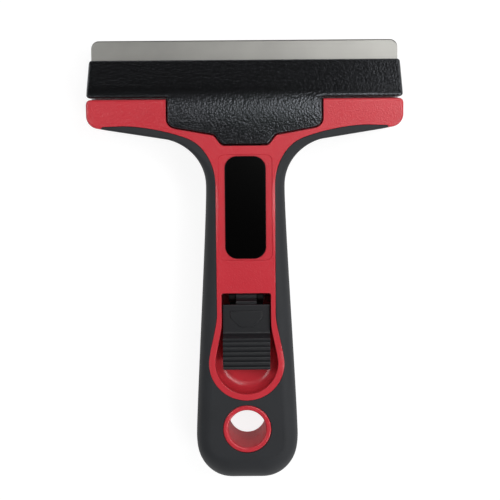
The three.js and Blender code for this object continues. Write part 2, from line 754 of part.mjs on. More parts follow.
// The boss under the crown: rings of its outline with a rounded upper edge, and its left and
// right sides joined across like the rungs of a ladder.
function crownedBoss(low, top) {
  const straight = crown.filter((p) => p.x > handleLength - bossFromFront + bossCorner && p.x < top);
  const corner = bossSide(top).slice(0, -1);
  const stations = [...straight.reverse().map((p) => p.x), top];
  const side = [...corner, ...stations.map((y) => point(bossHalfWidth, y))];
  const around = [...side, ...side.slice().reverse().map((p) => point(-p.x, p.y))];
  const count = around.length;
  const rings = [around.map((p) => [p.x, p.y, low])];
  const steps = 3;
  for (let step = 0; step <= steps; step += 1) {
    const angle = (Math.PI / 2) * (step / steps);
    const ring = insetOutline(around, () => jawEdge * (1 - Math.cos(angle)));
    rings.push(ring.map((p) => [p.x, p.y, crownAt(p.y) - jawEdge * (1 - Math.sin(angle))]));
  }
  const index = [];
  for (let ring = 0; ring < rings.length - 1; ring += 1) {
    for (let i = 0; i < count; i += 1) {
      const a = ring * count + i;
      const b = ring * count + ((i + 1) % count);
      index.push(a, b, b + count, a, b + count, a + count);
    }
  }
  const last = (rings.length - 1) * count;
  for (let i = 0; i < side.length - 1; i += 1) {
    const j = count - 1 - i;
    index.push(i, j, j - 1, i, j - 1, i + 1);
    index.push(last + i, last + j - 1, last + j, last + i, last + i + 1, last + j - 1);
  }
  const geometry = new THREE.BufferGeometry();
  geometry.setAttribute('position', new THREE.Float32BufferAttribute(rings.flat(2), 3));
  geometry.setIndex(index);
  return solidOf(geometry);
}

const bossTop = barBack + 2.5 * jawEdge; // upper end of a boss, inside its bar
const flatBoss = (low, top) => solidOf(pillow(bossOutline(bossTop), () => jawEdge, low, top));

// Pockets in the bar's underside leave ribs, and a pad behind the mouth that grips the blade.
function barPockets(back, low, top) {
  const slope = (top - mid - jawLip) / (mouth - back);
  const innerBack = back + jawWall;
  const innerFront = mouth - jawLipDepth;
  const profile = [
    point(innerBack, low - 1),
    point(innerFront, low - 1),
    point(innerFront, top - jawWall - slope * (innerFront - back) - jawWall / 4),
    point(innerBack, top - jawWall - slope * jawWall - jawWall / 4),
  ];
  const bays = jawRibs + 1;
  const span = 2 * (jawHalfWidth - jawWall);
  const bay = (span - jawRibs * jawRib) / bays;
  return Array.from({ length: bays }, (_, i) => {
    const left = -span / 2 + i * (bay + jawRib);
    return across(profile, left, left + bay);
  });
}

const openRise = Math.sin(THREE.MathUtils.degToRad(jawOpenAngle));
const skirtLow = pocketFloor + pocketGap + (tailFromFront * openRise) / 2;
const barTop = crownAt(barBack);
const bossHollowX = bossHalfWidth - jawWall;
const bossHollow = prism(mirrored([
  point(0, tailY + tailLength + jawWall),
  point(tailShoulder, tailY + tailLength + jawWall),
  point(bossHollowX, handleLength - bossFromFront + jawWall),
  point(bossHollowX, barBack - jawWall / 2),
  point(0, barBack - jawWall / 2),
]), mid, plateLow);
const padLow = tongueTop + wedgeClearance;
const jawLugs = bothSides((side) => (
  hingeUpright(...spanOf(side, lugInner, lugOuter), jawLugRadius, jawAxisZ, plateLow + weld)
));
const jawLugHoles = bothSides((side) => (
  rod(jawAxisY, jawAxisZ, jawPinRadius + pinGap, ...spanOf(side, lugInner - 1, bossHalfWidth + 1), holeSides)
));

let frontJaw = jawBar(barBack, frontJawLow, barTop).add(crownedBoss(skirtLow, bossTop));
for (const pocket of barPockets(barBack, frontJawLow, barTop)) frontJaw = frontJaw.subtract(pocket);
frontJaw = frontJaw
  .subtract(bossHollow)
  .subtract(middleBlock(tongueHalfWidth + slideGap, tailY - 1, tongueTipY + 1, mid, padLow))
  .subtract(middleBlock(
    tongueHalfWidth + slideGap, tailY + tailPad + jawEdge / 2, tongueTipY + 1, mid, plateLow,
  ))
  .add(jawLugs)
  .subtract(jawLugHoles);

// Rear jaw, drawn face up and turned over: the fixed half that the blade lies on.
const rearJawBack = handleLength + seam;
const seatLevel = over(bladeBottom - bladeGap);
const stopLevel = over(bladeTop - bladeGap);
const bladeStop = middleBlock(
  jawHalfWidth - jawEnd, rearJawBack, bladeBack - seam, stopLevel, seatLevel + weld,
);
const pegY = bladeBack + notchDepth - notchHalfWidth;
const bladePegs = bothSides((side) => post(
  side * notchFromCentre, pegY, notchHalfWidth - seam, stopLevel, seatLevel + weld,
));
let rearJaw = jawBar(rearJawBack, seatLevel, face)
  .add(flatBoss(pocketFloor + seam, face))
  .add(bladeStop)
  .add(bladePegs);
for (const p of jawScrews) {
  rearJaw = rearJaw
    .subtract(post(p.x, p.y, screwRadius + pinGap, mid, face + 1))
    .subtract(headHole(p, rearHeadSeat, face + 1));
}

// Blade: round front corners, a bevel ground on both sides, and two notches in the back edge
// that slip over the rear jaw's pegs.
function bladeOutline() {
  const path = new THREE.Path();
  path.moveTo(0, bladeBack);
  path.lineTo(notchFromCentre - notchHalfWidth, bladeBack);
  path.absarc(notchFromCentre, pegY, notchHalfWidth, Math.PI, 0, true);
  path.lineTo(notchFromCentre + notchHalfWidth, bladeBack);
  path.lineTo(bladeWidth / 2, bladeBack);
  path.absarc(bladeWidth / 2 - bladeCorner, bladeFront - bladeCorner, bladeCorner, 0, Math.PI / 2, false);
  path.lineTo(0, bladeFront);
  return mirrored(pathPoints(path));
}

const blade = across([
  point(bladeBack, bladeBottom),
  point(bladeFront - bladeGrind, bladeBottom),
  point(bladeFront, mid - bladeEdge / 2),
  point(bladeFront, mid + bladeEdge / 2),
  point(bladeFront - bladeGrind, bladeTop),
  point(bladeBack, bladeTop),
], -bladeWidth / 2, bladeWidth / 2).intersect(prism(bladeOutline(), bladeBottom - 1, bladeTop + 1));

const labelPlate = prism(
  roundedRectangle(labelWidth / 2, labelLow, labelHigh, labelCorner),
  face + labelProud - labelThickness, face + labelProud,
);

// Jaw pins and the wound springs that press the jaw open.
const jawPin = (side) => rod(jawAxisY, jawAxisZ, jawPinRadius, ...spanOf(side, ribInner, pinOuter));

// A spring wound on an axis along X or Y, with straight legs where it is a torsion spring.
class Winding extends THREE.Curve {
  constructor(at) {
    super();
    this.at = at;
  }

  getPoint(t, target = new THREE.Vector3()) {
    return target.copy(this.at(t));
  }
}

const jawCoilRadius = jawPinRadius + jawWire / 2 + seam;
const jawCoilInner = lugOuter + seam + jawWire / 2;
const jawCoilOuter = bossHalfWidth - jawWall - jawWire;
const stepsPerTurn = 8;
function jawSpring(side) {
  const curve = new Winding((t) => {
    const angle = 2 * Math.PI * jawCoils * t - Math.PI / 2;
    return new THREE.Vector3(
      side * THREE.MathUtils.lerp(jawCoilInner, jawCoilOuter, t),
      jawAxisY + jawCoilRadius * Math.cos(angle),
      jawAxisZ + jawCoilRadius * Math.sin(angle),
    );
  });
  return wire(curve, jawWire / 2, jawCoils * stepsPerTurn);
}

// Latch slider: a flat stem under the scoop, a tongue with a wedge end under the jaw's tail,
// ears for the button's hinge, and a foot that the return spring pushes.
const wedgeSlope = (1.1 * openRise * (jawAxisY - tailY)) / latchTravel;
const wedgeStart = tailY + pocketGap / 2;
const tongueProfile = [
  point(bendLow - stemThickness, stemBottom),
  point(bendLow, stemBottom),
  point(bendHigh, tongueBottom),
  point(tongueTipY, tongueBottom),
  point(tongueTipY, tongueTop - wedgeSlope * (tongueTipY - wedgeStart)),
  point(wedgeStart, tongueTop),
  point(bendHigh - stemThickness / 2, tongueTop),
  point(bendLow - stemThickness, stemTop),
];
const earInner = knuckleHalfWidth + seam;
const ears = bothSides((side) => hingeUpright(
  ...spanOf(side, earInner, earInner + earThickness),
  knuckleRadius, stemBottom + weld, pivotZ, pivotY, pivotZ,
));
const pivotHole = rod(pivotY, pivotZ, pivotRadius + pinGap, -reach, reach);
const slotHalf = bossRadius + slideGap;
const stemSlot = middleBlock(
  slotHalf, neckScrewY - slotHalf, neckScrewY + slotHalf + latchTravel, 0, face,
);
const footBottom = stemBottom - returnRadius * 2;
const slider = middleBlock(stemHalfWidth, footY, bendLow - stemThickness / 2, stemBottom, stemTop)
  .add(across(tongueProfile, -tongueHalfWidth, tongueHalfWidth))
  .add(middleBlock(footHalfWidth, footY, footY + footThickness, footBottom, stemTop))
  .subtract(stemSlot)
  .add(ears)
  .subtract(pivotHole);

// Thumb button: a flat pad with a raised arrow, then a ramp up to the ribbed thumb rest.
const padLevel = face - buttonFlatDepth;
const restLevel = face + buttonCrest;
const padY = buttonHigh - buttonFlatLength;
const buttonBody = across([
  point(buttonLow, restLevel - buttonEndThickness),
  point(padY, restLevel - buttonEndThickness),
  point(padY, pivotZ + knuckleRadius),
  point(buttonHigh, pivotZ + knuckleRadius),
  point(buttonHigh, padLevel),
  point(padY, padLevel),
  point(padY - buttonRamp, restLevel),
  point(buttonLow + buttonCorner / 2, restLevel),
  point(buttonLow, restLevel - buttonCorner / 2),
], -buttonHalfWidth, buttonHalfWidth).intersect(prism(
  roundedRectangle(buttonHalfWidth, buttonLow, buttonHigh, buttonCorner), mid, restLevel + 1,
));
const arrowLow = padY + arrowFromRamp;
const arrowHigh = arrowLow + arrowLength;
const arrow = prism([
  point(-arrowTip / 2, arrowLow),
  point(arrowTip / 2, arrowLow),
  point(arrowWidth / 2, arrowHigh - arrowSide),
  point(arrowWidth / 2, arrowHigh),
  point(-arrowWidth / 2, arrowHigh),
  point(-arrowWidth / 2, arrowHigh - arrowSide),
], padLevel - weld, padLevel + arrowHeight);
const knuckle = rod(pivotY, pivotZ, knuckleRadius, -knuckleHalfWidth, knuckleHalfWidth, holeSides)
  .add(middleBlock(
    knuckleHalfWidth, buttonHigh - knuckleRoot, pivotY, pivotZ - knuckleRadius / 2, pivotZ + knuckleRadius,
  ));
let button = buttonBody.add(arrow).add(knuckle).subtract(pivotHole);
for (let i = 0; i < ribCount - 1; i += 1) {
  const grooveY = padY - buttonRamp - ribPitch * (i + 0.5);
  button = button.subtract(rod(grooveY, restLevel, ribGroove, -reach, reach, pinSides / 2));
}
const buttonPin = rod(
  pivotY, pivotZ, pivotRadius, -earInner - earThickness, earInner + earThickness,
);

// Leaf spring: fixed on the stem, it lifts the button, and its nose butts against the edge of
// the scoop's floor until the button is pressed.
const leafFoot = pivotY - knuckleRadius - seam;
const leafLow = stemTop + seam / 2;
const leafNose = Math.max(leafFoot - leafLength, ledgeY + seam);
const leafMid = (leafFoot + leafNose) / 2;
const leafLine = [
  point(leafFoot, leafLow),
  point(leafMid, leafLow),
  point(leafNose + leafNoseFlat, leafLow + leafRise),
  point(leafNose, leafLow + leafRise),
];
const leaf = across([
  ...leafLine,
  ...leafLine.slice().reverse().map((p) => point(p.x, p.y + leafThickness)),
], -leafHalfWidth, leafHalfWidth);

// Return spring: pushes the slider's foot towards the head.
const returnAxisZ = stemBottom - returnRadius;
const returnCurve = new Winding((t) => {
  const angle = 2 * Math.PI * returnTurns * t;
  return new THREE.Vector3(
    returnRadius * Math.cos(angle),
    THREE.MathUtils.lerp(springSeatY + returnWire / 2, footY - returnWire, t),
    returnAxisZ + returnRadius * Math.sin(angle),
  );
});
const returnSpring = wire(returnCurve, returnWire / 2, returnTurns * stepsPerTurn);

// A pan-head screw from the rear, drawn as a turned profile.
function screw(p, tip) {
  const profile = [
    point(0, screwSink),
    point(screwHeadRadius - screwHeadRound, screwSink),
    point(screwHeadRadius, screwSink + screwHeadRound),
    point(screwHeadRadius, screwSink + screwHeadHeight),
    point(screwRadius, screwSink + screwHeadHeight),
    point(screwRadius, tip - screwRadius),
    point(0, tip),
  ];
  const geometry = new THREE.LatheGeometry(profile, pinSides).rotateX(Math.PI / 2);
  return solidOf(geometry.translate(p.x, p.y, 0));
}

// Finishes
const finish = (color, roughness, metalness = 0) => (
  new THREE.MeshStandardMaterial({ color, roughness, metalness })
);
const redShell = finish(0xb92f3b, 0.42);
const softBlack = finish(0x2c2e30, 0.75);
const grainedBlack = finish(0x1b1c1d, 0.5);
const glossBlack = finish(0x060606, 0.2);
const groundSteel = finish(0xb4b3ae, 0.32, 1);
const springSteel = finish(0x9a9c9e, 0.3, 1);
const zincSteel = finish(0xa8a9a6, 0.35, 1);
const darkAcetal = finish(0x3a3c3e, 0.5);

const scraper = new THREE.Group();
scraper.add(
  piece('front_shell', frontShell, redShell),
  turnedOver(piece('rear_shell', rearShell, redShell)),
  piece('front_grip', softGrip, softBlack),
  turnedOver(piece('rear_grip', rearGrip, softBlack)),
  piece('front_jaw', frontJaw, grainedBlack),
  turnedOver(piece('rear_jaw', rearJaw, grainedBlack)),
  piece('blade', blade, groundSteel),
  piece('label_plate', labelPlate, glossBlack),
  piece('jaw_pin_left', jawPin(-1), springSteel),
  piece('jaw_pin_right', jawPin(1), springSteel),
  piece('jaw_spring_left', jawSpring(-1), springSteel),
  piece('jaw_spring_right', jawSpring(1), springSteel),
  piece('latch_slider', slider, darkAcetal),
  piece('thumb_button', button, grainedBlack),
  piece('button_pin', buttonPin, springSteel),
  piece('button_spring', leaf, springSteel),
  piece('return_spring', returnSpring, springSteel),
  piece('neck_screw', screw(neckScrew, holeEnd - tipRoom), zincSteel),
  piece('butt_screw_left', screw(buttScrews[0], holeEnd - tipRoom), zincSteel),
  piece('butt_screw_right', screw(buttScrews[1], holeEnd - tipRoom), zincSteel),
  piece('jaw_screw_left', screw(jawScrews[0], jawHoleEnd - tipRoom), zincSteel),
  piece('jaw_screw_right', screw(jawScrews[1], jawHoleEnd - tipRoom), zincSteel),
);
scraper.position.y = -bladeFront / 2;

export default scraper;
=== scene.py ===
import math

import bmesh
import bpy
import numpy as np
from mathutils import Matrix, Vector


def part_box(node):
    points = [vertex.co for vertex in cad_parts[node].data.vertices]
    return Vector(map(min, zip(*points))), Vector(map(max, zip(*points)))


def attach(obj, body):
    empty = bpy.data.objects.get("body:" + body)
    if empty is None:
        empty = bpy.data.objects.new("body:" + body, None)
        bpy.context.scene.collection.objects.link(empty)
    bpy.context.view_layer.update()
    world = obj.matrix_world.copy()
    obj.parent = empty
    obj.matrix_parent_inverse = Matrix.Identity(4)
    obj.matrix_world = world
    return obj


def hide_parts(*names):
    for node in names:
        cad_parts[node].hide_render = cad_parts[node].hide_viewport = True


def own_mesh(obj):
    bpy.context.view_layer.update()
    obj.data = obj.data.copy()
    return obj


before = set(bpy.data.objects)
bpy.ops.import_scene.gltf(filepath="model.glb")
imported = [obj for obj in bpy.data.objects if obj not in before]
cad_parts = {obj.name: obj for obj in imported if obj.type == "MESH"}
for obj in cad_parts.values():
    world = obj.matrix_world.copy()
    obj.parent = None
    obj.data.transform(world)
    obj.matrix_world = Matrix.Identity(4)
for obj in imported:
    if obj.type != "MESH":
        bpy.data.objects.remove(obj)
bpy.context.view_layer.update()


# Rear shell: the handle's back half, a hollow moulding in red ABS that flares into two wings.
# It is moulded in one shot, the grip is moulded over it, and five screws go in from this side.
# Sizes are in mm: x from the middle, y from the butt, z from the rear face.
MIDDLE_Y = 73.9
THICKNESS = 20.0
PARTING = 0.06
PARTING_EASE = 0.12
BUTT_EDGE = 9.5
BUTT_END = 12
HANDLE_EDGE = 5.0
FLARE_START = 96
FLARE_END = 115.3
WING_EDGE = 0.8
HANG_MIDDLE = (0, 18.75)
HANG_HOLE = 6.33
TEAR_MIDDLE = (0, 41)
SCOOP_TEAR = 10.4
# A cut runs from below the parting line to past the face, or past the head where it is open there.
# Its rim ends just clear of the face, and points nearer than the weld are merged after it.
APART = 0.01
WELD = 0.002
CUT_LOW = 5
CUT_HIGH = THICKNESS + 2
OVER_FACE = THICKNESS + APART
PAST_HEAD = 140


def bend(*points, steps=24):
    """Bezier curve: its control points weighted by Bernstein's polynomials, at even steps."""
    points = np.array(points, float)
    top = len(points) - 1
    power = np.arange(top + 1)
    t = np.linspace(0, 1, steps + 1)[:, None]
    share = np.array([math.comb(top, k) for k in power])
    return (share * t**power * (1 - t)**(top - power)) @ points


def arc(middle, radius, start, end, steps=16):
    """Arc of a circle: middle plus radius times cosine and sine, at even angles in degrees."""
    angle = np.radians(np.linspace(start, end, steps + 1))
    return np.array(middle) + radius * np.stack([np.cos(angle), np.sin(angle)], axis=1)


def outline(*runs):
    """Runs of points joined into one closed line, without points that repeat the one before."""
    points = np.vstack([np.atleast_2d(np.array(run, float)) for run in runs])
    step = np.linalg.norm(points - np.roll(points, 1, axis=0), axis=1)
    return points[step > 1e-6]


def both_sides(*runs):
    """Closed outline from its right side, drawn upwards, and the mirrored side, drawn back down."""
    side = np.vstack([np.atleast_2d(np.array(run, float)) for run in runs])
    return outline(side, side[::-1] * (-1, 1))


def blend_step(value, low, high):
    """Smooth step: 3t^2 - 2t^3, where t runs from 0 at low to 1 at high."""
    t = np.clip((value - low) / (high - low), 0, 1)
    return t * t * (3 - 2 * t)


def carried(line, inset, level):
    """Closed outline carried through rows: each row is the line moved inwards along its mitres
    by the row's inset, at the row's level. Both have one number a row, or one for each point."""
    edge = np.roll(line, -1, axis=0) - line
    edge = edge / np.linalg.norm(edge, axis=1, keepdims=True)
    inward = np.stack([-edge[:, 1], edge[:, 0]], axis=1)
    before = np.roll(inward, 1, axis=0)
    mitre = (inward + before) / (1 + np.sum(inward * before, axis=1, keepdims=True))
    shape = (len(inset), len(line))
    inset = np.broadcast_to(np.array(inset, float).reshape(len(inset), -1), shape)
    level = np.broadcast_to(np.array(level, float).reshape(len(level), -1), shape)
    return np.concatenate([line + inset[..., None] * mitre, level[..., None]], axis=-1)


def skin(rings, ladder=False):
    """Faces over rows of rings: quads between rows, and each end closed by one face, or by quads
    from the right side to the left like a ladder's rungs where the end isn't flat."""
    rows, count = rings.shape[:2]
    index = np.arange(rows * count).reshape(rows, count)
    after = np.roll(index, -1, axis=1)
    quads = np.stack([index[:-1], after[:-1], after[1:], index[1:]], axis=-1).reshape(-1, 4)
    if not ladder:
        return quads.tolist() + [index[0, ::-1].tolist(), index[-1].tolist()]
    k = np.arange(count // 2 - 1)
    rungs = np.stack([k, k + 1, count - 2 - k, count - 1 - k], axis=-1)
    return np.vstack([quads, index[0][rungs[:, ::-1]], index[-1][rungs]]).tolist()


def piece(name, points, faces):
    """Object at the origin from points in mm, moved so that y counts from the frame's middle."""
    mesh = bpy.data.meshes.new(name)
    metres = (np.reshape(points, (-1, 3)) - (0, MIDDLE_Y, 0)) / 1000
    mesh.from_pydata(metres.tolist(), [], faces)
    made = bpy.data.objects.new(name, mesh)
    bpy.context.collection.objects.link(made)
    return made


def solid(name, line, inset, level):
    """Object bounded by an outline that is carried through rows of inset and level."""
    rings = carried(line, inset, level)
    return piece(name, rings, skin(rings))


def carve(body, *tools, how="DIFFERENCE"):
    """Body with the tools' volume taken out, or with only the volume it shares with them kept.
    Points that the cut leaves nearer than the weld become one, so that no slivers stay."""
    for tool in tools:
        step = body.modifiers.new(tool.name, "BOOLEAN")
        step.operation = how
        step.object = tool
    bpy.context.view_layer.update()
    seen = body.evaluated_get(bpy.context.evaluated_depsgraph_get())
    carved = bpy.data.meshes.new_from_object(seen)
    sound = bmesh.new()
    sound.from_mesh(carved)
    bmesh.ops.remove_doubles(sound, verts=sound.verts, dist=WELD / 1000)
    bmesh.ops.dissolve_degenerate(sound, edges=sound.edges, dist=WELD / 1000)
    sound.to_mesh(carved)
    sound.free()
    body.modifiers.clear()
    body.data = carved
    carved.name = body.name
    for tool in tools:
        bpy.data.objects.remove(tool)


def finish_surface(made, material, crease=35):
    """Smooth shading with edges kept sharp past the crease angle, normals weighted by face area."""
    mesh = made.data
    mesh.materials.append(material)
    mesh.polygons.foreach_set("use_smooth", np.ones(len(mesh.polygons), bool))
    mesh.set_sharp_from_angle(angle=math.radians(crease))
    weighted = made.modifiers.new("even_shading", "WEIGHTED_NORMAL")
    weighted.keep_sharp = True


def linear(code):
    """Linear colour from an sRGB hex code: c/12.92 below 0.04045, else ((c+0.055)/1.055)^2.4."""
    part = np.array([int(code[k:k + 2], 16) for k in (1, 3, 5)]) / 255
    value = np.where(part <= 0.04045, part / 12.92, ((part + 0.055) / 1.055)**2.4)
    return (*value.tolist(), 1.0)


def add(tree, kind, inputs, **settings):
    """Node of a kind with its settings: an input is linked to a socket or set to a value."""
    made = tree.nodes.new(kind)
    for name, value in settings.items():
        setattr(made, name, value)
    for name, value in inputs.items():
        if isinstance(value, bpy.types.NodeSocket):
            tree.links.new(value, made.inputs[name])
        else:
            made.inputs[name].default_value = value
    return made


def new_material(name):
    """Empty node material and its tree."""
    made = bpy.data.materials.new(name)
    made.use_nodes = True
    made.node_tree.nodes.clear()
    return made, made.node_tree


def per_mm(size):
    """Texture scale for a feature of that size in mm, on Object coordinates in metres."""
    return 1000 / size


# Moulded ABS: satin, with a fine spark-eroded grain that breaks the gloss into small points, and
# a faint cloudiness from the flow in the mould. The grain is drawn at 0.42 mm, so that it shows.
# The thumb scoop is polished, within a ball about its middle that is measured with z squeezed, so
# that its corners glint. The hang hole's wall is dull.
FINISH_EDGE = 0.1
FINISH_FADE = 0.3
SCOOP_SQUEEZE = 0.7
red_abs, tree = new_material("moulded_red_abs")
place = add(tree, "ShaderNodeTexCoord", {}).outputs["Object"]
cloud = add(tree, "ShaderNodeTexNoise", {"Vector": place, "Scale": per_mm(14), "Detail": 2})
red_tone = add(tree, "ShaderNodeMixRGB", {
    "Fac": cloud.outputs["Fac"], "Color1": linear("#d03540"), "Color2": linear("#db3c47")})
grain = add(tree, "ShaderNodeTexNoise", {
    "Vector": place, "Scale": per_mm(0.42), "Detail": 2, "Roughness": 0.6})
satin = add(tree, "ShaderNodeMapRange", {
    "Value": grain.outputs["Fac"], "From Min": 0.3, "From Max": 0.7, "To Min": 0.12, "To Max": 0.22})
low_place = add(tree, "ShaderNodeVectorMath", {
    0: place, 1: (1, 1, SCOOP_SQUEEZE)}, operation="MULTIPLY")
scoop_middle = (
    TEAR_MIDDLE[0] / 1000, (TEAR_MIDDLE[1] - MIDDLE_Y) / 1000, SCOOP_SQUEEZE * THICKNESS / 1000)
from_scoop = add(tree, "ShaderNodeVectorMath", {
    0: low_place.outputs["Vector"], 1: scoop_middle}, operation="DISTANCE")
grained = add(tree, "ShaderNodeMapRange", {
    "Value": from_scoop.outputs["Value"],
    "From Min": (SCOOP_TEAR - FINISH_EDGE - FINISH_FADE) / 1000,
    "From Max": (SCOOP_TEAR - FINISH_EDGE) / 1000})
polished = add(tree, "ShaderNodeMapRange", {
    "Value": grained.outputs["Result"], "To Min": 0.25, "To Max": satin.outputs["Result"]})
flat_place = add(tree, "ShaderNodeVectorMath", {0: place, 1: (1, 1, 0)}, operation="MULTIPLY")
hang_axis = (HANG_MIDDLE[0] / 1000, (HANG_MIDDLE[1] - MIDDLE_Y) / 1000, 0)
from_axis = add(tree, "ShaderNodeVectorMath", {
    0: flat_place.outputs["Vector"], 1: hang_axis}, operation="DISTANCE")
red_rough = add(tree, "ShaderNodeMapRange", {
    "Value": from_axis.outputs["Value"], "From Min": (HANG_HOLE + FINISH_EDGE) / 1000,
    "From Max": (HANG_HOLE + FINISH_EDGE + FINISH_FADE) / 1000,
    "To Min": 0.6, "To Max": polished.outputs["Result"]})
relief = add(tree, "ShaderNodeMapRange", {
    "Value": grained.outputs["Result"], "To Min": 0.0, "To Max": 0.9})
red_bump = add(tree, "ShaderNodeBump", {
    "Height": grain.outputs["Fac"], "Strength": relief.outputs["Result"], "Distance": 0.0001})
shader = add(tree, "ShaderNodeBsdfPrincipled", {
    "Base Color": red_tone.outputs["Color"], "Roughness": red_rough.outputs["Result"],
    "IOR": 1.53, "Normal": red_bump.outputs["Normal"]})
add(tree, "ShaderNodeOutputMaterial", {"Surface": shader.outputs["BSDF"]})

handle_line = both_sides(
    (0, 0),
    bend((5, 0), (13.509, 0), (17.1, 7.52), (17.1, 16)),
    bend((17.1, 16), (16.8, 30), (13, 88), (13, 100), steps=48),
    bend((13, 100), (13, 108.5), (19.5, 114.2), (26.5, 115.3)),
    arc((47.3, 122.84), 4.2, -81, 0),
    bend((51.5, 126.2), (51.5, 128), (49.7, 128), steps=8),
    (0, 128),
)


def half_body():
    """Half of the handle: its outline carried up from the parting line, then over an edge that is
    a quarter circle, whose radius falls from the butt to the handle and on to the wings."""
    turn = np.radians(np.linspace(0, 90, 13))[:, None]
    y = handle_line[:, 1]
    edge = BUTT_EDGE + (HANDLE_EDGE - BUTT_EDGE) * blend_step(y, 0, BUTT_END)
    edge = edge + (WING_EDGE - HANDLE_EDGE) * blend_step(y, FLARE_START, FLARE_END)
    wall = np.array([PARTING_EASE, 0.0])[:, None] + 0 * edge
    wall_level = THICKNESS / 2 + PARTING + np.array([0, PARTING_EASE])[:, None] + 0 * edge
    inset = np.vstack([wall, edge * (1 - np.cos(turn))])
    level = np.vstack([wall_level, THICKNESS - edge * (1 - np.sin(turn))])
    return carried(handle_line, inset, level)


LAND_TEAR = 12.5
LAND_HALF = 9.7
LAND_EASE = 0.15
TEAR_TURN = 10


def tear_side(radius, reach, half_width, low, high):
    """Right side of a tear drop: an arc from its foot to a few degrees above its middle, then a
    curve that leaves by a handle of that reach and comes up straight at the half width."""
    turn = np.radians(TEAR_TURN)
    end = np.array([radius * math.cos(turn), TEAR_MIDDLE[1] + radius * math.sin(turn)])
    handle = end + (-reach * math.sin(turn), reach)
    return np.vstack([
        arc(TEAR_MIDDLE, radius, -90, TEAR_TURN, steps=40),
        bend(end, handle, (half_width, low), (half_width, high)),
    ])


land_line = both_sides(
    tear_side(LAND_TEAR, reach=6, half_width=LAND_HALF, low=54, high=57.5),
    bend((LAND_HALF, 100), (LAND_HALF, 106.8), (13.26, 113.16), (18.6, 115.3)),
    bend((18.6, 115.3), (23.94, 117.44), (33, 119.45), (40, 119.45)),
    bend((45.9, 119.25), (46.6, 119.25), (46.6, 118.55), steps=8),
    (46.6, 108), (60, 108), (60, PAST_HEAD), (0, PAST_HEAD),
)
BOSS_HALF = 25.1
boss_side = outline(
    (APART, 113.35),
    bend((6.7, 113.35), (8.3, 113.35), (9.0, 116.43), (10.6, 116.75)),
    bend((22.1, 118.8), (25.1, 119.3), (25.1, 121.8), steps=16),
)


def eased_prism(name, line, low, ease, grow=0.0):
    """Upright prism from low to past the face: near the face it widens or narrows by ease in a
    quarter circle, so that what it cuts keeps a rounded rim."""
    turn = np.radians(np.linspace(0, 90, 7))
    inset = np.concatenate([[-grow], -grow + ease * (1 - np.cos(turn)), [-grow + ease]])
    rim = OVER_FACE - abs(ease) * (1 - np.sin(turn))
    return solid(name, line, inset, np.concatenate([[low], rim, [CUT_HIGH]]))


def block(name, half_width, low_y, high_y, low_z, high_z):
    """Straight-sided block about x = 0."""
    line = both_sides((half_width, low_y), (half_width, high_y))
    return solid(name, line, [0, 0], [low_z, high_z])


def turned(name, middle, profile, steps=48):
    """Profile of (radius, level) points turned about an upright axis: radius by cosine and sine."""
    angle = np.linspace(0, 2 * np.pi, steps, endpoint=False)
    radius, level = np.array(profile, float).T
    x = middle[0] + radius[:, None] * np.cos(angle)
    y = middle[1] + radius[:, None] * np.sin(angle)
    rings = np.stack([x, y, level[:, None] + 0 * angle], axis=-1)
    return piece(name, rings, skin(rings))


def rear_of(made):
    """Object turned over to the rear half, in its mesh: x and z change sign, and z then rises by
    the thickness."""
    mesh = made.data
    points = np.empty(len(mesh.vertices) * 3, np.float32)
    mesh.vertices.foreach_get("co", points)
    shifted = points.reshape(-1, 3) * (-1, 1, -1) + (0, 0, THICKNESS / 1000)
    mesh.vertices.foreach_set("co", shifted.astype(np.float32).ravel())
    mesh.update()
    return made


# The hang ring is part of the same moulding: a collar round the hole through the butt.
HANG_RING = 8.05
HOLE_ROUND = 0.7
RING_ROUND = 0.5
RING_STEPS = 96


def hang_ring(name, radius):
    """Collar profile, with rounded upper edges, turned about the hole's axis as a closed ring."""
    low = THICKNESS / 2 + PARTING
    inner = arc((HANG_HOLE + HOLE_ROUND, THICKNESS - HOLE_ROUND), HOLE_ROUND, 180, 90, steps=6)
    outer = arc((radius - RING_ROUND, THICKNESS - RING_ROUND), RING_ROUND, 90, 0, steps=6)
    profile = np.vstack([[(radius, low), (HANG_HOLE, low)], inner, outer])
    angle = np.linspace(0, 2 * np.pi, RING_STEPS, endpoint=False)
    x = HANG_MIDDLE[0] + profile[:, :1] * np.cos(angle)
    y = HANG_MIDDLE[1] + profile[:, :1] * np.sin(angle)
    rings = np.stack([x, y, profile[:, 1:] + 0 * angle], axis=-1)
    index = np.arange(rings.shape[0] * RING_STEPS).reshape(-1, RING_STEPS)
    up, after = np.roll(index, -1, axis=0), np.roll(index, -1, axis=1)
    corner = np.roll(up, -1, axis=1)
    quads = np.stack([index, up, corner, after], axis=-1).reshape(-1, 4)
    return piece(name, rings, quads.tolist())


def join(body, *others):
    """One object from several: the meshes are put end to end."""
    with bpy.context.temp_override(
            active_object=body, selected_editable_objects=[body, *others], object=body):
        bpy.ops.object.join()


POCKET_FLOOR = 13.4
POCKET_EASE = 0.12
REAR_GAP = 0.3


def pocket(name, gap):
    """Room for a jaw's boss: the boss's outline grown by a gap, from its floor up past the face."""
    line = both_sides(boss_side, (BOSS_HALF, PAST_HEAD))
    return eased_prism(name, line, POCKET_FLOOR, -POCKET_EASE, grow=gap)


BORE = 1.65
BORE_LOW = 8
HEAD_BORE = 2.9
HEAD_SEAT = 17.0
HEAD_EASE = 0.2


def screw_hole(name, x, y):
    """Stepped hole, drawn face up: a bore for the shank, a recess for the head and an eased rim."""
    rim = HEAD_BORE + HEAD_EASE
    return turned(name, (x, y), [
        (BORE, BORE_LOW), (BORE, HEAD_SEAT), (HEAD_BORE, HEAD_SEAT),
        (HEAD_BORE, THICKNESS - HEAD_EASE), (rim, OVER_FACE), (rim, CUT_HIGH)])


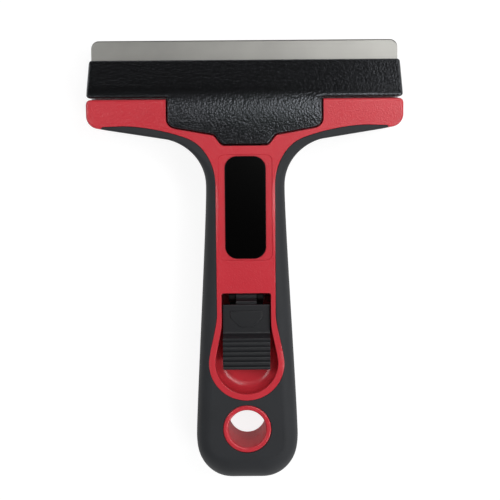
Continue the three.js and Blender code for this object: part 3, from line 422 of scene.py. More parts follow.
REAR_STEP = 0.4
NECK_SCREW = (0, 69.1)
HOLLOW_HALF = 8.3
HOLLOW_LOW = 32.1
HOLLOW_HIGH = 110.5
HOLLOW_ROOF = 17.8
rings = half_body()
rear_shell = piece("rear_half_moulding", rings, skin(rings))
rear_land = eased_prism("land", land_line, CUT_LOW, LAND_EASE, grow=-REAR_STEP)
carve(rear_shell, rear_land, how="INTERSECT")
carve(
    rear_shell,
    block("hollow", HOLLOW_HALF, HOLLOW_LOW, HOLLOW_HIGH, CUT_LOW, HOLLOW_ROOF),
    pocket("rear_pocket", REAR_GAP),
    screw_hole("neck_hole", *NECK_SCREW),
)
join(rear_shell, hang_ring("rear_ring", HANG_RING - REAR_STEP))
rear_of(rear_shell)
finish_surface(rear_shell, red_abs)
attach(rear_shell, "handle")
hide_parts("rear_shell")


# Rear grip: soft thermoplastic elastomer moulded over the sides, the butt and under the wings.
# It fills the outline round the red land and the hang ring, and ends squarely on each wing.
BUTT_SCREWS = ((-9.5, 10), (9.5, 10))
SEAM = 0.05
GRIP_EASE = 0.22

# Thermoplastic elastomer: matte charcoal with a dull fine grain and no clear highlight. The grain
# is drawn at 0.5 mm, so that it shows.
soft_grip, tree = new_material("matte_elastomer_grip")
place = add(tree, "ShaderNodeTexCoord", {}).outputs["Object"]
cloud = add(tree, "ShaderNodeTexNoise", {"Vector": place, "Scale": per_mm(9), "Detail": 3})
grip_tone = add(tree, "ShaderNodeMixRGB", {
    "Fac": cloud.outputs["Fac"], "Color1": linear("#212326"), "Color2": linear("#282a2e")})
grain = add(tree, "ShaderNodeTexNoise", {
    "Vector": place, "Scale": per_mm(0.5), "Detail": 3, "Roughness": 0.6})
grip_bump = add(tree, "ShaderNodeBump", {
    "Height": grain.outputs["Fac"], "Strength": 0.25, "Distance": 0.0001})
shader = add(tree, "ShaderNodeBsdfPrincipled", {
    "Base Color": grip_tone.outputs["Color"], "Roughness": 0.66, "IOR": 1.48,
    "Normal": grip_bump.outputs["Normal"]})
add(tree, "ShaderNodeOutputMaterial", {"Surface": shader.outputs["BSDF"]})


def overmould(name, step, *holes):
    """Half of the body without the land and the ring, both a seam wider, and without the holes."""
    rings = half_body()
    made = piece(name, rings, skin(rings))
    ring_line = arc(HANG_MIDDLE, HANG_RING, 0, 360, steps=RING_STEPS)[:-1]
    carve(
        made,
        eased_prism("land", land_line, CUT_LOW, -GRIP_EASE, grow=SEAM - step),
        eased_prism("ring", ring_line, CUT_LOW, -GRIP_EASE, grow=SEAM - step),
        *holes,
    )
    return made


rear_grip = rear_of(overmould(
    "rear_overmould", REAR_STEP,
    screw_hole("left_hole", *BUTT_SCREWS[0]),
    screw_hole("right_hole", *BUTT_SCREWS[1]),
))
finish_surface(rear_grip, soft_grip)
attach(rear_grip, "handle")
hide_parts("rear_grip")


# Rear jaw: the fixed half of the blade clamp, a grained black moulding in the rear pocket.
# Its bar backs the whole blade, and two screws hold its boss to the shell.
JAW_HALF = 51.35
MOUTH = 141.2
LIP = 12.5
SEAT = 10.36
BOSS_EDGE = 0.55
BOSS_SHOULDER = 122.4
BAR_EDGE = 1.0
LIP_EDGE = 0.35
FOOT_EASE = 0.2
MITRE_ROOM = 0.05
REAR_BAR_BACK = 128.3
REAR_SLOPE = 130.3
REAR_BOSS_LOW = 13.7
JAW_SCREWS = ((-18, 122.4), (18, 122.4))

# Grained black plastic: a coarse pebble texture, whose rounded tops catch the light as points.
# It is etched shallower from the bar's back on, so that the slope to the mouth looks smoother.
SLOPE_START = 126.5
SLOPE_END = 130.5
grained_black, tree = new_material("pebble_grained_black_plastic")
place = add(tree, "ShaderNodeTexCoord", {}).outputs["Object"]
pebble = add(tree, "ShaderNodeTexVoronoi", {
    "Vector": place, "Scale": per_mm(0.7), "Smoothness": 0.3}, feature="SMOOTH_F1")
fine = add(tree, "ShaderNodeTexNoise", {"Vector": place, "Scale": per_mm(0.42), "Detail": 1})
along = add(tree, "ShaderNodeSeparateXYZ", {"Vector": place})
etched = add(tree, "ShaderNodeMapRange", {
    "Value": along.outputs["Y"], "From Min": (SLOPE_START - MIDDLE_Y) / 1000,
    "From Max": (SLOPE_END - MIDDLE_Y) / 1000, "To Min": 0.75, "To Max": 0.45})
height = add(tree, "ShaderNodeMath", {
    0: pebble.outputs["Distance"], 1: fine.outputs["Fac"]}, operation="SUBTRACT")
jaw_bump = add(tree, "ShaderNodeBump", {
    "Height": height.outputs["Value"], "Strength": etched.outputs["Result"],
    "Distance": 0.00013}, invert=True)
jaw_tone = add(tree, "ShaderNodeMixRGB", {
    "Fac": fine.outputs["Fac"], "Color1": linear("#060606"), "Color2": linear("#0c0c0c")})
shader = add(tree, "ShaderNodeBsdfPrincipled", {
    "Base Color": jaw_tone.outputs["Color"], "Roughness": 0.22, "IOR": 1.5,
    "Specular IOR Level": 0.9, "Specular Tint": linear("#f1f6ff"),
    "Normal": jaw_bump.outputs["Normal"]})
add(tree, "ShaderNodeOutputMaterial", {"Surface": shader.outputs["BSDF"]})


def straight(start, end, steps):
    """Points evenly along a straight line."""
    return np.linspace(start, end, steps + 1)


def jaw(name, bar_back, crown, boss_low):
    """Jaw from its plan outline, tail to mouth: the outline carried up to a crown that depends on
    y alone, less a quarter circle at the edge that gets finer at the lip, with rungs across the
    crown and the underside."""
    corner = BAR_EDGE + MITRE_ROOM
    bar_low, bar_high = bar_back + corner, MOUTH - corner
    side = np.vstack([
        boss_side[1:],
        straight((BOSS_HALF, BOSS_SHOULDER), (BOSS_HALF, bar_back - APART), 16),
        [(BOSS_HALF + APART, bar_back)],
        arc((JAW_HALF - corner, bar_low + 3 * APART), corner, -90, 0, steps=8),
        straight((JAW_HALF, bar_low + 20 * APART), (JAW_HALF, bar_high - 20 * APART), 24),
        arc((JAW_HALF - corner, bar_high), corner, 0, 90, steps=8),
    ])
    line = np.vstack([side, side[::-1] * (-1, 1)])
    on_boss = line[:, 1] < bar_back - APART / 2
    edge = np.where(on_boss, BOSS_EDGE, BAR_EDGE)
    edge = edge + (LIP_EDGE - BAR_EDGE) * blend_step(line[:, 1], bar_high, MOUTH)
    low = np.where(on_boss, boss_low, SEAT)
    turn = np.radians(np.linspace(0, 90, 9))[:, None]
    inset = np.vstack([FOOT_EASE + 0 * edge, 0 * edge, 0 * edge, edge * (1 - np.cos(turn))])
    rings = carried(line, inset, 0 * inset)
    top = crown(rings[3:, :, 1]) - edge * (1 - np.sin(turn))
    rings[0, :, 2] = low
    rings[1, :, 2] = low + FOOT_EASE
    rings[2, :, 2] = 0.5 * (low + FOOT_EASE + top[0])
    rings[3:, :, 2] = top
    return piece(name, rings, skin(rings, ladder=True))


def rear_crown(y):
    """Flat over the boss, then a straight slope from the bar's back down to the lip."""
    return np.interp(y, [0, REAR_SLOPE, MOUTH], [THICKNESS, THICKNESS, LIP])


rear_jaw = jaw("fixed_jaw", REAR_BAR_BACK, rear_crown, REAR_BOSS_LOW)
carve(rear_jaw, *[screw_hole("jaw_hole", *spot) for spot in JAW_SCREWS])
rear_of(rear_jaw)
finish_surface(rear_jaw, grained_black)
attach(rear_jaw, "handle")
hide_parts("rear_jaw")


# Latch slider, pins and jaw springs: the works inside the shells.
# The slider is moulded acetal, and the rest is drawn steel; their solids stay as they are.

# Acetal: dark, a little waxy, smooth from a polished mould. Its colour and gloss are set below the
# plastic's own as painted shade, so the slider's ears sink into the shadow under the window's top.
acetal_darkened_as_shade, tree = new_material("moulded_acetal_darkened_as_shade")
place = add(tree, "ShaderNodeTexCoord", {}).outputs["Object"]
cloud = add(tree, "ShaderNodeTexNoise", {"Vector": place, "Scale": per_mm(6), "Detail": 2})
acetal_and_shade_tone = add(tree, "ShaderNodeMixRGB", {
    "Fac": cloud.outputs["Fac"], "Color1": linear("#030303"), "Color2": linear("#070707")})
shader = add(tree, "ShaderNodeBsdfPrincipled", {
    "Base Color": acetal_and_shade_tone.outputs["Color"], "Roughness": 0.5, "IOR": 1.48,
    "Specular IOR Level": 0.25})
add(tree, "ShaderNodeOutputMaterial", {"Surface": shader.outputs["BSDF"]})

# Spring steel: bright drawn wire with fine die lines, drawn here at 0.25 mm so that they show.
spring_steel, tree = new_material("bright_drawn_spring_steel")
place = add(tree, "ShaderNodeTexCoord", {}).outputs["Object"]
lines = add(tree, "ShaderNodeTexNoise", {"Vector": place, "Scale": per_mm(0.25), "Detail": 2})
wire_rough = add(tree, "ShaderNodeMapRange", {
    "Value": lines.outputs["Fac"], "To Min": 0.2, "To Max": 0.36})
shader = add(tree, "ShaderNodeBsdfPrincipled", {
    "Base Color": linear("#b9bbbd"), "Metallic": 1.0, "Roughness": wire_rough.outputs["Result"]})
add(tree, "ShaderNodeOutputMaterial", {"Surface": shader.outputs["BSDF"]})

# Blackened steel: the pins' oxide finish, dark grey with a dull metal gloss.
black_steel, tree = new_material("black_oxide_pin_steel")
place = add(tree, "ShaderNodeTexCoord", {}).outputs["Object"]
oxide = add(tree, "ShaderNodeTexNoise", {"Vector": place, "Scale": per_mm(0.8), "Detail": 3})
oxide_tone = add(tree, "ShaderNodeMixRGB", {
    "Fac": oxide.outputs["Fac"], "Color1": linear("#232426"), "Color2": linear("#323335")})
shader = add(tree, "ShaderNodeBsdfPrincipled", {
    "Base Color": oxide_tone.outputs["Color"], "Metallic": 1.0, "Roughness": 0.45})
add(tree, "ShaderNodeOutputMaterial", {"Surface": shader.outputs["BSDF"]})

for name in ("jaw_spring_left", "jaw_spring_right"):
    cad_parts[name].material_slots[0].material = spring_steel
for name in ("jaw_pin_left", "jaw_pin_right", "button_pin"):
    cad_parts[name].material_slots[0].material = black_steel
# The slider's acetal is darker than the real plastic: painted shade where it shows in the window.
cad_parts["latch_slider"].material_slots[0].material = acetal_darkened_as_shade


# Return spring: a coil of spring wire with closed ends, which pushes the slider to the head.
# It is seated in the rear shell and shortens as the latch is drawn back.
WIRE = 0.35
COIL_TURNS = 6
spring_low, spring_high = 1000 * np.array(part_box("return_spring")) + (0, MIDDLE_Y, 0)
coil_radius = (spring_high[0] - spring_low[0]) / 2 - WIRE
coil_z = (spring_high[2] + spring_low[2]) / 2


def coil(steps=360, sides=14):
    """Circle of the wire carried along a helix: the axis position eases in and out at both ends,
    so that the end turns lie close, and the circle stands on the radial and axial directions."""
    t = np.linspace(0, 1, steps + 1)[:, None]
    angle = 2 * np.pi * COIL_TURNS * t
    along = 0.5 * t + 0.5 * blend_step(t, 0, 1)
    y = spring_low[1] + WIRE + (spring_high[1] - spring_low[1] - 2 * WIRE) * along
    round_wire = np.linspace(0, 2 * np.pi, sides, endpoint=False)
    reach = coil_radius + WIRE * np.cos(round_wire)
    x = reach * np.cos(angle)
    z = coil_z + reach * np.sin(angle)
    return np.stack([x, y + WIRE * np.sin(round_wire), z], axis=-1)


rings = coil()
return_spring = piece("return_coil", rings, skin(rings))
finish_surface(return_spring, spring_steel)
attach(return_spring, "handle")
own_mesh(return_spring)
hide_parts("return_spring")


# Leaf spring: a strip of spring steel, bent up to a nose that lifts the button and locks the
# slider. Its foot is fixed on the slider's stem, and it flattens to pass under the scoop's floor.
LEAF_THICK = 0.2
LEAF_ROUND = 0.03
NOSE_FLAT = 1.0
leaf_low, leaf_high = 1000 * np.array(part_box("button_spring")) + (0, MIDDLE_Y, 0)


def across(name, line, half_width, edge):
    """Side profile of (y, z) carried across x, drawn in along its mitres in a quarter circle at
    each end, so that the side edges are rounded."""
    turn = np.radians(np.linspace(0, 90, 5))
    inset = np.concatenate([edge * (1 - np.sin(turn)), edge * (1 - np.sin(turn[::-1]))])
    reach = half_width - edge * (1 - np.cos(turn))
    rings = carried(line, inset, np.concatenate([-reach, reach[::-1]]))
    return piece(name, rings[..., [2, 0, 1]], skin(rings))


leaf_y = np.linspace(leaf_low[1], leaf_high[1], 41)
leaf_rise = leaf_high[2] - leaf_low[2] - LEAF_THICK
leaf_bend = 1 - blend_step(leaf_y, leaf_low[1] + NOSE_FLAT, (leaf_low[1] + leaf_high[1]) / 2)
leaf_under = np.stack([leaf_y, leaf_low[2] + leaf_rise * leaf_bend], axis=1)
leaf_line = np.vstack([leaf_under, leaf_under[::-1] + (0, LEAF_THICK)])
leaf_spring = across("leaf_strip", leaf_line, leaf_high[0], LEAF_ROUND)
finish_surface(leaf_spring, spring_steel)
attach(leaf_spring, "latch")
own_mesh(leaf_spring)
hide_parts("button_spring")


# Thumb button: a black moulding hinged on the slider, with rounded corners, a flat pad at the
# head's end and a block of cross ribs for the thumb. A plain raised pennant on the pad shows the
# way it slides.
BUTTON_HALF = 7.85
BUTTON_LOW = 39.0
BUTTON_HIGH = 60.6
BUTTON_CORNER = 0.7
BUTTON_ROUND = 0.16
PLAN_LOW = 15
PAD = 18.4
PAD_UNDER = 15.9
PAD_ROUND = 0.45
CREST = 20.7
RIB_UNDER = 17.4
RIB_PITCH = 1.66
RIB_DEPTH = 0.45
RIB_TOP_Y = 49.4
END_ROUND = 0.25
PIVOT = (62.8, 13.8)
KNUCKLE = 2.1
KNUCKLE_HALF = 3.45
KNUCKLE_ROUND = 0.2

# Button plastic: black and even, with a finer grain than the jaws, drawn at 0.45 mm to show.
button_black, tree = new_material("fine_grained_black_plastic")
place = add(tree, "ShaderNodeTexCoord", {}).outputs["Object"]
grain = add(tree, "ShaderNodeTexNoise", {"Vector": place, "Scale": per_mm(0.45), "Detail": 3})
button_bump = add(tree, "ShaderNodeBump", {
    "Height": grain.outputs["Fac"], "Strength": 0.22, "Distance": 0.0001})
button_tone = add(tree, "ShaderNodeMixRGB", {
    "Fac": grain.outputs["Fac"], "Color1": linear("#1a1b1e"), "Color2": linear("#232427")})
shader = add(tree, "ShaderNodeBsdfPrincipled", {
    "Base Color": button_tone.outputs["Color"], "Roughness": 0.4, "IOR": 1.5,
    "Normal": button_bump.outputs["Normal"]})
add(tree, "ShaderNodeOutputMaterial", {"Surface": shader.outputs["BSDF"]})


def plate(half_width, low, high, corner):
    """Rectangle about x = 0 whose four corners are quarter circles."""
    x, low_y, high_y = half_width - corner, low + corner, high - corner
    return both_sides(arc((x, low_y), corner, -90, 0), arc((x, high_y), corner, 0, 90))


def rib_line(steps=190):
    """Ribs from the ramp's top to the butt's end: the crest less a groove, which is the cube of the
    distance from the nearest rib in half pitches, so that crests are round and grooves sharp."""
    y = np.linspace(RIB_TOP_Y, BUTTON_LOW + END_ROUND, steps)
    part = (RIB_TOP_Y - y) / RIB_PITCH % 1
    groove = (1 - np.abs(2 * part - 1))**3
    return np.stack([y, CREST - RIB_DEPTH * groove], axis=1)


side_line = outline(
    (BUTTON_LOW, RIB_UNDER), (49.6, RIB_UNDER), (51.6, PAD_UNDER), (BUTTON_HIGH - 0.3, PAD_UNDER),
    arc((BUTTON_HIGH - PAD_ROUND, PAD - PAD_ROUND), PAD_ROUND, 0, 90, steps=8),
    bend((51.6, PAD), (51.0, PAD), (50.8, PAD + 0.25), steps=6),
    bend((49.75, CREST - 0.4), (49.6, CREST), (RIB_TOP_Y, CREST), steps=6),
    rib_line(),
    arc((BUTTON_LOW + END_ROUND, 20.2), END_ROUND, 120, 180, steps=4),
)
button = across("ribbed_button", side_line, BUTTON_HALF, BUTTON_ROUND)
plan_line = plate(BUTTON_HALF + APART, BUTTON_LOW - APART, BUTTON_HIGH + APART, BUTTON_CORNER)
carve(button, solid("plan", plan_line, [0, 0], [PLAN_LOW, CUT_HIGH]), how="INTERSECT")
knuckle_line = outline(
    (59.1, 13.0), arc(PIVOT, KNUCKLE, -150, 110, steps=32),
    bend((61.8, 16.0), (61.8, 17.2), (61.2, 17.2), steps=8),
    (59.1, 17.2),
)
knuckle = across("knuckle", knuckle_line, KNUCKLE_HALF, KNUCKLE_ROUND)
pennant_line = both_sides((2.2, 53.0), (5.3, 56.2), (5.3, 58.4))
pennant_level = PAD + np.array([-0.2, 0.18, 0.27, 0.3])
pennant = solid("pennant", pennant_line, [0, 0, 0.06, 0.16], pennant_level)
join(button, knuckle, pennant)
finish_surface(button, button_black, crease=40)
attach(button, "button")
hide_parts("thumb_button")


# Front shell: the handle's red front half, in the same moulded ABS as the rear and screwed to it.
# It has the thumb scoop with the button's window, the label's sunk panel and the front jaw's
# pocket, with a port to it for the slider's tongue.
SCOOP_HALF = 8.15
SCOOP_FLOOR = 13.6
SCOOP_RIM = 0.3
BOWL_FILLET = 3.4
WINDOW_FILLET = 0.4
WINDOW_TOP = 64.5
WINDOW_CORNER = 0.8
WINDOW_ROOF = 19.0
LEDGE = 50.3
LOW_HOLLOW_HIGH = 66.0
LOW_HOLLOW_ROOF = 12.0
TONGUE_PORT = (5.4, 109.5, 114.5, 13.2, 17.7)
FRONT_GAP = 0.45
PANEL = (8.75, 75.5, 110.0, 2.0)
PANEL_FLOOR = THICKNESS - 0.25
PANEL_EASE = 0.12
LABEL = (6.65, 76.0, 109.5, 4.0)
LABEL_GAP = 0.1
LABEL_SEAT = 19.5
scoop_line = both_sides(
    tear_side(SCOOP_TEAR, reach=5, half_width=SCOOP_HALF, low=52, high=55),
    straight((SCOOP_HALF, 56), (SCOOP_HALF, WINDOW_TOP - 1.4), 8),
    arc((SCOOP_HALF - WINDOW_CORNER, WINDOW_TOP - WINDOW_CORNER), WINDOW_CORNER, 0, 90, steps=6),
)


def scoop():
    """Bowl: the scoop's outline from its floor up a fillet that is a quarter circle, wide at the
    butt's end and narrow by the window, then up the wall and out over a rounded rim."""
    turn = np.radians(np.linspace(0, 90, 13))[:, None]
    narrow = blend_step(scoop_line[:, 1], TEAR_MIDDLE[1], WINDOW_TOP - WINDOW_CORNER)
    fillet = BOWL_FILLET + (WINDOW_FILLET - BOWL_FILLET) * narrow
    rim = np.radians(np.linspace(0, 90, 7))[:, None] + 0 * fillet
    inset = np.vstack([
        fillet * (1 - np.sin(turn)),
        -SCOOP_RIM * (1 - np.cos(rim)),
        -SCOOP_RIM + 0 * fillet,
    ])
    level = np.vstack([
        SCOOP_FLOOR + fillet * (1 - np.cos(turn)),
        OVER_FACE - SCOOP_RIM * (1 - np.sin(rim)),
        CUT_HIGH + 0 * fillet,
    ])
    rings = carried(scoop_line, inset, level)
    return piece("scoop", rings, skin(rings))


rings = half_body()
front_shell = piece("front_half_moulding", rings, skin(rings))
carve(front_shell, eased_prism("land", land_line, CUT_LOW, LAND_EASE), how="INTERSECT")
window_half, window_high = SCOOP_HALF - 2 * APART, WINDOW_TOP - 2 * APART
panel_inset = [PANEL_EASE, 0, -PANEL_EASE, -PANEL_EASE]
panel_level = [PANEL_FLOOR, PANEL_FLOOR + PANEL_EASE, OVER_FACE, CUT_HIGH]
seat_line = plate(LABEL[0] + LABEL_GAP, LABEL[1] - LABEL_GAP, LABEL[2] + LABEL_GAP, LABEL[3])
carve(
    front_shell,
    scoop(),
    block("window", window_half, LEDGE, window_high, CUT_LOW, WINDOW_ROOF),
    block("low_hollow", HOLLOW_HALF, HOLLOW_LOW, LOW_HOLLOW_HIGH, CUT_LOW, LOW_HOLLOW_ROOF),
    block("hollow", HOLLOW_HALF, LOW_HOLLOW_HIGH, HOLLOW_HIGH, CUT_LOW, HOLLOW_ROOF),
    solid("panel", plate(*PANEL), panel_inset, panel_level),
    solid("label_seat", seat_line, [0, 0], [LABEL_SEAT, CUT_HIGH]),
    pocket("front_pocket", FRONT_GAP),
    block("tongue_port", *TONGUE_PORT),
)
join(front_shell, hang_ring("front_ring", HANG_RING))
finish_surface(front_shell, red_abs)
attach(front_shell, "handle")
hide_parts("front_shell")


# Front grip: the same elastomer overmould as at the rear, without screw holes.
# It meets the rear grip along the parting line.
front_grip = overmould("front_overmould", 0)
finish_surface(front_grip, soft_grip)
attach(front_grip, "handle")
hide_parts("front_grip")


# Front jaw: the rocking half of the clamp, in the same grained black plastic as the rear jaw.
# It turns on two pins in the shell's pocket. Its bar slopes to the blade, its boss has a crowned
# back, and it is hollow underneath for the springs.
FRONT_BAR_BACK = 128.5
FRONT_BOSS_LOW = 14.69
JAW_HOLLOW = (9, 18.4)
crown_line = np.vstack([
    [(MOUTH, LIP)],
    bend((132.6, 17.98), (130.2, 19.51), (127.4, 20.8), (122.55, 20.8), steps=40),
    bend((122.55, 20.8), (119.48, 20.8), (116.42, 20.35), (113.35, 19.9), steps=30),
])[::-1]


def front_crown(y):
    """Crown read from its side line: up from the tail, over the crest, down the slope to the lip."""
    return np.interp(y, crown_line[:, 0], crown_line[:, 1])


front_jaw = jaw("rocking_jaw", FRONT_BAR_BACK, front_crown, FRONT_BOSS_LOW)
hollow_line = both_sides((5.5, 115.6), (9.6, 118.9), (21, 120.8), (23, 122.4), (23, 127.6))
carve(front_jaw, solid("jaw_hollow", hollow_line, [0, 0], JAW_HOLLOW))
finish_surface(front_jaw, grained_black)
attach(front_jaw, "clamp_jaw")
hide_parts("front_jaw")


# Blade: a flat strip of carbon steel with rounded front corners, ground to an edge on both faces.
# Two slots in its back locate it between the jaws, and it is drawn forward to be changed.
BLADE_HALF = 50.8
BLADE_LOW = 129.2
BLADE_HIGH = 147.8
BLADE_Z = 10.0
BLADE_THICK = 0.6
BLADE_EASE = 0.04
BLADE_CORNER = 2.6
BEVEL = 0.4
BEVEL_START = 145.0
BEVEL_FULL = 147.2
EDGE_THICK = 0.06
SLOT_X = 25.0
SLOT_HALF = 2.1
SLOT_END = 132.5

# Ground steel: grey and satin, with fine grinding lines across the blade, drawn at 0.5 mm to show,
# and a slow change in gloss from the oil film that it is packed in.
ground_steel, tree = new_material("ground_carbon_steel")
place = add(tree, "ShaderNodeTexCoord", {}).outputs["Object"]
stretch = add(tree, "ShaderNodeMapping", {"Vector": place, "Scale": (0.03, 1, 1)})
lines = add(tree, "ShaderNodeTexNoise", {
    "Vector": stretch.outputs["Vector"], "Scale": per_mm(0.5), "Detail": 3})
film = add(tree, "ShaderNodeTexNoise", {"Vector": place, "Scale": per_mm(11), "Detail": 3})
steel_tone = add(tree, "ShaderNodeMixRGB", {
    "Fac": film.outputs["Fac"], "Color1": linear("#9d9c98"), "Color2": linear("#b0afaa")})
steel_rough = add(tree, "ShaderNodeMapRange", {
    "Value": lines.outputs["Fac"], "To Min": 0.34, "To Max": 0.5})
steel_bump = add(tree, "ShaderNodeBump", {
    "Height": lines.outputs["Fac"], "Strength": 0.08, "Distance": 0.00005})
shader = add(tree, "ShaderNodeBsdfPrincipled", {
    "Base Color": steel_tone.outputs["Color"], "Metallic": 1.0,
    "Roughness": steel_rough.outputs["Result"], "Normal": steel_bump.outputs["Normal"]})
add(tree, "ShaderNodeOutputMaterial", {"Surface": shader.outputs["BSDF"]})

blade_line = both_sides(
    (0, BLADE_LOW), (SLOT_X - SLOT_HALF, BLADE_LOW),
    arc((SLOT_X, SLOT_END), SLOT_HALF, 180, 0, steps=20),
    (SLOT_X + SLOT_HALF, BLADE_LOW), (BLADE_HALF, BLADE_LOW), (BLADE_HALF, 144.2),
    arc((BLADE_HALF - BLADE_CORNER, BLADE_HIGH - BLADE_CORNER), BLADE_CORNER, 0, 90, steps=20),
    (0, BLADE_HIGH),
)
sharpened = blend_step(blade_line[:, 1], BEVEL_START, BEVEL_FULL)
bevel = BLADE_EASE + (BEVEL - BLADE_EASE) * sharpened
rings = carried(
    blade_line,
    np.stack([bevel, 0 * bevel, 0 * bevel, bevel]),
    BLADE_Z + np.array([-BLADE_THICK, -EDGE_THICK, EDGE_THICK, BLADE_THICK]) / 2,
)
blade = piece("ground_blade", rings, skin(rings))
finish_surface(blade, ground_steel, crease=12)
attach(blade, "cutting_blade")
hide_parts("blade")


# Label plate: a thin gloss black plate, cut from acrylic sheet with round corners and a softened
# rim, and glued into the seat in the front shell's sunk panel.
LABEL_FOOT = 19.55
LABEL_TOP = 20.15
LABEL_ROUND = 0.2

# Gloss acrylic: near black and almost flat, smooth enough to mirror the lamps softly.
gloss_plate, tree = new_material("gloss_black_acrylic")
place = add(tree, "ShaderNodeTexCoord", {}).outputs["Object"]
wave = add(tree, "ShaderNodeTexNoise", {"Vector": place, "Scale": per_mm(16), "Detail": 1})
plate_tone = add(tree, "ShaderNodeMixRGB", {
    "Fac": wave.outputs["Fac"], "Color1": linear("#010101"), "Color2": linear("#030303")})
plate_bump = add(tree, "ShaderNodeBump", {
    "Height": wave.outputs["Fac"], "Strength": 0.05, "Distance": 0.0002})
shader = add(tree, "ShaderNodeBsdfPrincipled", {
    "Base Color": plate_tone.outputs["Color"], "Roughness": 0.2, "IOR": 1.49,
    "Specular IOR Level": 0.14, "Normal": plate_bump.outputs["Normal"]})
add(tree, "ShaderNodeOutputMaterial", {"Surface": shader.outputs["BSDF"]})

turn = np.radians(np.linspace(0, 90, 6))
label = solid(
    "gloss_plate", plate(*LABEL),
    np.concatenate([[0], LABEL_ROUND * (1 - np.cos(turn))]),
    np.concatenate([[LABEL_FOOT], LABEL_TOP - LABEL_ROUND * (1 - np.sin(turn))]),
)
finish_surface(label, gloss_plate)
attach(label, "handle")
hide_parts("label_plate")


# Screws: five zinc-plated pan heads with a cross recess, driven from the rear.
# Three join the shells and two hold the rear jaw; their heads are sunk below the face.
HEAD_RADIUS = 2.6
HEAD_TOP = 19.0
HEAD_ROUND = 0.7
HEAD_UNDER = 0.1
SHANK = 1.4
SHANK_END = (0.9, 10.4)
SHANK_LOW = 11.0
CROSS_ARM = 1.5
CROSS_HALF = 0.4
CROSS_DEPTH = 1.1
CROSS_TAPER = 0.22

# Zinc plate: bright grey metal with a slightly cloudy passivated film.
zinc_plate, tree = new_material("zinc_plated_steel")
place = add(tree, "ShaderNodeTexCoord", {}).outputs["Object"]
film = add(tree, "ShaderNodeTexNoise", {"Vector": place, "Scale": per_mm(1.2), "Detail": 3})
zinc_tone = add(tree, "ShaderNodeMixRGB", {
    "Fac": film.outputs["Fac"], "Color1": linear("#b5b7b8"), "Color2": linear("#cfd0cd")})
zinc_rough = add(tree, "ShaderNodeMapRange", {
    "Value": film.outputs["Fac"], "To Min": 0.22, "To Max": 0.4})
shader = add(tree, "ShaderNodeBsdfPrincipled", {
    "Base Color": zinc_tone.outputs["Color"], "Metallic": 1.0,
    "Roughness": zinc_rough.outputs["Result"]})
add(tree, "ShaderNodeOutputMaterial", {"Surface": shader.outputs["BSDF"]})


def pan_screw(name, x, y):
    """Screw drawn face up: shank and pan head turned about its axis, with a tapered cross cut in."""
    made = turned(name, (x, y), np.vstack([
        [SHANK_END, (SHANK, SHANK_LOW), (SHANK, HEAD_SEAT)],
        [(HEAD_RADIUS - HEAD_UNDER, HEAD_SEAT), (HEAD_RADIUS, HEAD_SEAT + HEAD_UNDER)],
        arc((HEAD_RADIUS - HEAD_ROUND, HEAD_TOP - HEAD_ROUND), HEAD_ROUND, 0, 80, steps=8),
        [(0.6, HEAD_TOP)],
    ]))
    quarter = np.array([(CROSS_ARM, -CROSS_HALF), (CROSS_ARM, CROSS_HALF), (CROSS_HALF, CROSS_HALF)])
    turns = [quarter, quarter[:, ::-1] * (-1, 1), -quarter, quarter[:, ::-1] * (1, -1)]
    cross_line = np.vstack(turns) + (x, y)
    cross_level = HEAD_TOP + np.array([-CROSS_DEPTH, 0, 1])
    carve(made, solid("cross", cross_line, [CROSS_TAPER, 0, 0], cross_level))
    return rear_of(made)


screw_spots = {
    "neck_screw": NECK_SCREW,
    "butt_screw_left": BUTT_SCREWS[0],
    "butt_screw_right": BUTT_SCREWS[1],
    "jaw_screw_left": JAW_SCREWS[0],
    "jaw_screw_right": JAW_SCREWS[1],
}
for node, spot in screw_spots.items():
    screw = pan_screw("pan_" + node, -spot[0], spot[1])
    finish_surface(screw, zinc_plate)
    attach(screw, "handle")
    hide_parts(node)


# Stage: a pale floor under the tool, and six small soft boxes round and over it in a dim sky.
# The camera hangs over the tool, a little towards its head, and is tilted back down the handle.
FLOOR_HALF = 3.0
floor_mesh = bpy.data.meshes.new("studio_floor")
floor_mesh.from_pydata(
    [(-FLOOR_HALF, -FLOOR_HALF, 0), (FLOOR_HALF, -FLOOR_HALF, 0), (FLOOR_HALF, FLOOR_HALF, 0),
     (-FLOOR_HALF, FLOOR_HALF, 0)], [], [(0, 1, 2, 3)])
studio_floor = bpy.data.objects.new("studio_floor", floor_mesh)
bpy.context.collection.objects.link(studio_floor)

# Paper: plain and white to the eye and in reflections, where most of its light is its own, so
# that the shadow on it stays faint. What it throws back on the tool is plain diffuse light.
paper, tree = new_material("white_studio_paper")
light_path = add(tree, "ShaderNodeLightPath", {})
direct = add(tree, "ShaderNodeMath", {
    0: light_path.outputs["Is Camera Ray"], 1: light_path.outputs["Is Glossy Ray"]},
    operation="MAXIMUM")
shown = add(tree, "ShaderNodeMath", {
    0: direct.outputs["Value"], 1: light_path.outputs["Is Transmission Ray"]},
    operation="MAXIMUM")
lit = add(tree, "ShaderNodeBsdfDiffuse", {"Color": linear("#c8c8c8")})
dim = add(tree, "ShaderNodeBsdfDiffuse", {"Color": linear("#8a8a8a")})
glow = add(tree, "ShaderNodeEmission", {"Color": (1, 1, 1, 1), "Strength": 0.87})
both = add(tree, "ShaderNodeAddShader", {0: dim.outputs["BSDF"], 1: glow.outputs["Emission"]})
paper_mix = add(tree, "ShaderNodeMixShader", {
    "Fac": shown.outputs["Value"], 1: lit.outputs["BSDF"], 2: both.outputs["Shader"]})
add(tree, "ShaderNodeOutputMaterial", {"Surface": paper_mix.outputs["Shader"]})
floor_mesh.materials.append(paper)

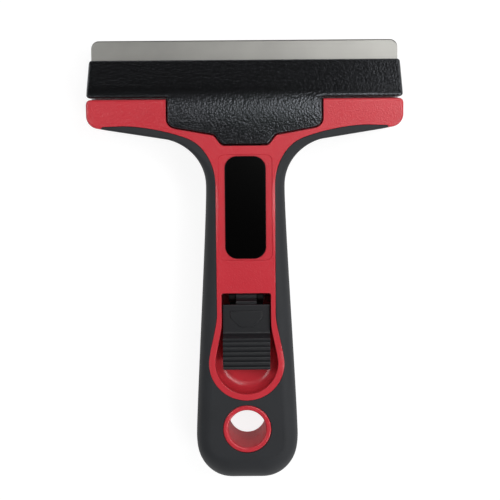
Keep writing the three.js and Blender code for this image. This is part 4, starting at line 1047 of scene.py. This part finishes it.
# Sky: dim and even, darker towards the head and overhead, where the jaw's slope and the label
# mirror it, with a white wall low down behind the floor.
HEAD_DARK = {"From Min": 0.55, "From Max": 0.85}
TOP_DARK = {"From Min": 0.85, "From Max": 0.96}
WALL_TOP = {"From Min": 0.04, "From Max": 0.16}
WALL_LEVEL = 1.1
sky = bpy.data.worlds.new("studio_sky")
bpy.context.scene.world = sky
sky.use_nodes = True
tree = sky.node_tree
tree.nodes.clear()
direction = add(tree, "ShaderNodeTexCoord", {}).outputs["Generated"]
facing = add(tree, "ShaderNodeSeparateXYZ", {"Vector": direction})
off_head = add(tree, "ShaderNodeMapRange", {
    "Value": facing.outputs["Y"], **HEAD_DARK, "To Min": 1.0, "To Max": 0.0})
off_top = add(tree, "ShaderNodeMapRange", {
    "Value": facing.outputs["Z"], **TOP_DARK, "To Min": 1.0, "To Max": 0.0})
fill = add(tree, "ShaderNodeMath", {
    0: off_head.outputs["Result"], 1: off_top.outputs["Result"]}, operation="MULTIPLY")
sky_level = add(tree, "ShaderNodeMapRange", {
    "Value": fill.outputs["Value"], "To Min": 0.03, "To Max": 0.2})
low_wall = add(tree, "ShaderNodeMapRange", {
    "Value": facing.outputs["Z"], **WALL_TOP,
    "To Min": WALL_LEVEL, "To Max": sky_level.outputs["Result"]})
backdrop = add(tree, "ShaderNodeBackground", {
    "Color": linear("#f0f1f3"), "Strength": low_wall.outputs["Result"]})
add(tree, "ShaderNodeOutputWorld", {"Surface": backdrop.outputs["Background"]})

LAMP_AIM = Vector((0, 0.03, 0.01))


def soft_box(name, spot, side, watts):
    """Square area lamp at a spot in metres: its own z axis turned along the line from the aim."""
    lamp = bpy.data.lights.new(name, "AREA")
    lamp.shape = "SQUARE"
    lamp.size = side
    lamp.energy = watts
    made = bpy.data.objects.new(name, lamp)
    bpy.context.collection.objects.link(made)
    facing_aim = (Vector(spot) - LAMP_AIM).to_track_quat("Z", "Y").to_matrix().to_4x4()
    made.matrix_world = Matrix.Translation(spot) @ facing_aim


soft_box("right_box", (0.24, 0.08, 0.36), 0.16, 0.46)
soft_box("left_box", (-0.28, 0.08, 0.40), 0.16, 0.38)
soft_box("head_box", (0.15, 0.26, 0.45), 0.16, 0.38)
soft_box("top_box", (0.10, 0.15, 0.70), 0.25, 0.27)
soft_box("butt_box", (0.30, -0.30, 0.40), 0.25, 0.90)
soft_box("edge_box", (0.185, 0.40, 0.175), 0.10, 0.078)

CAMERA_SPOT = (0.00138, 0.03578, 0.340)
CAMERA_TILT = -5.5
CAMERA_ROLL = -0.45
camera_data = bpy.data.cameras.new("photo_camera")
camera_data.sensor_width = 36
camera_data.lens = 70.57
camera_data.clip_start = 0.01
camera = bpy.data.objects.new("photo_camera", camera_data)
bpy.context.collection.objects.link(camera)
tilt = Matrix.Rotation(math.radians(CAMERA_TILT), 4, "X")
roll = Matrix.Rotation(math.radians(CAMERA_ROLL), 4, "Z")
camera.matrix_world = Matrix.Translation(CAMERA_SPOT) @ tilt @ roll
bpy.context.scene.camera = camera
bpy.context.scene.view_settings.view_transform = "Standard"
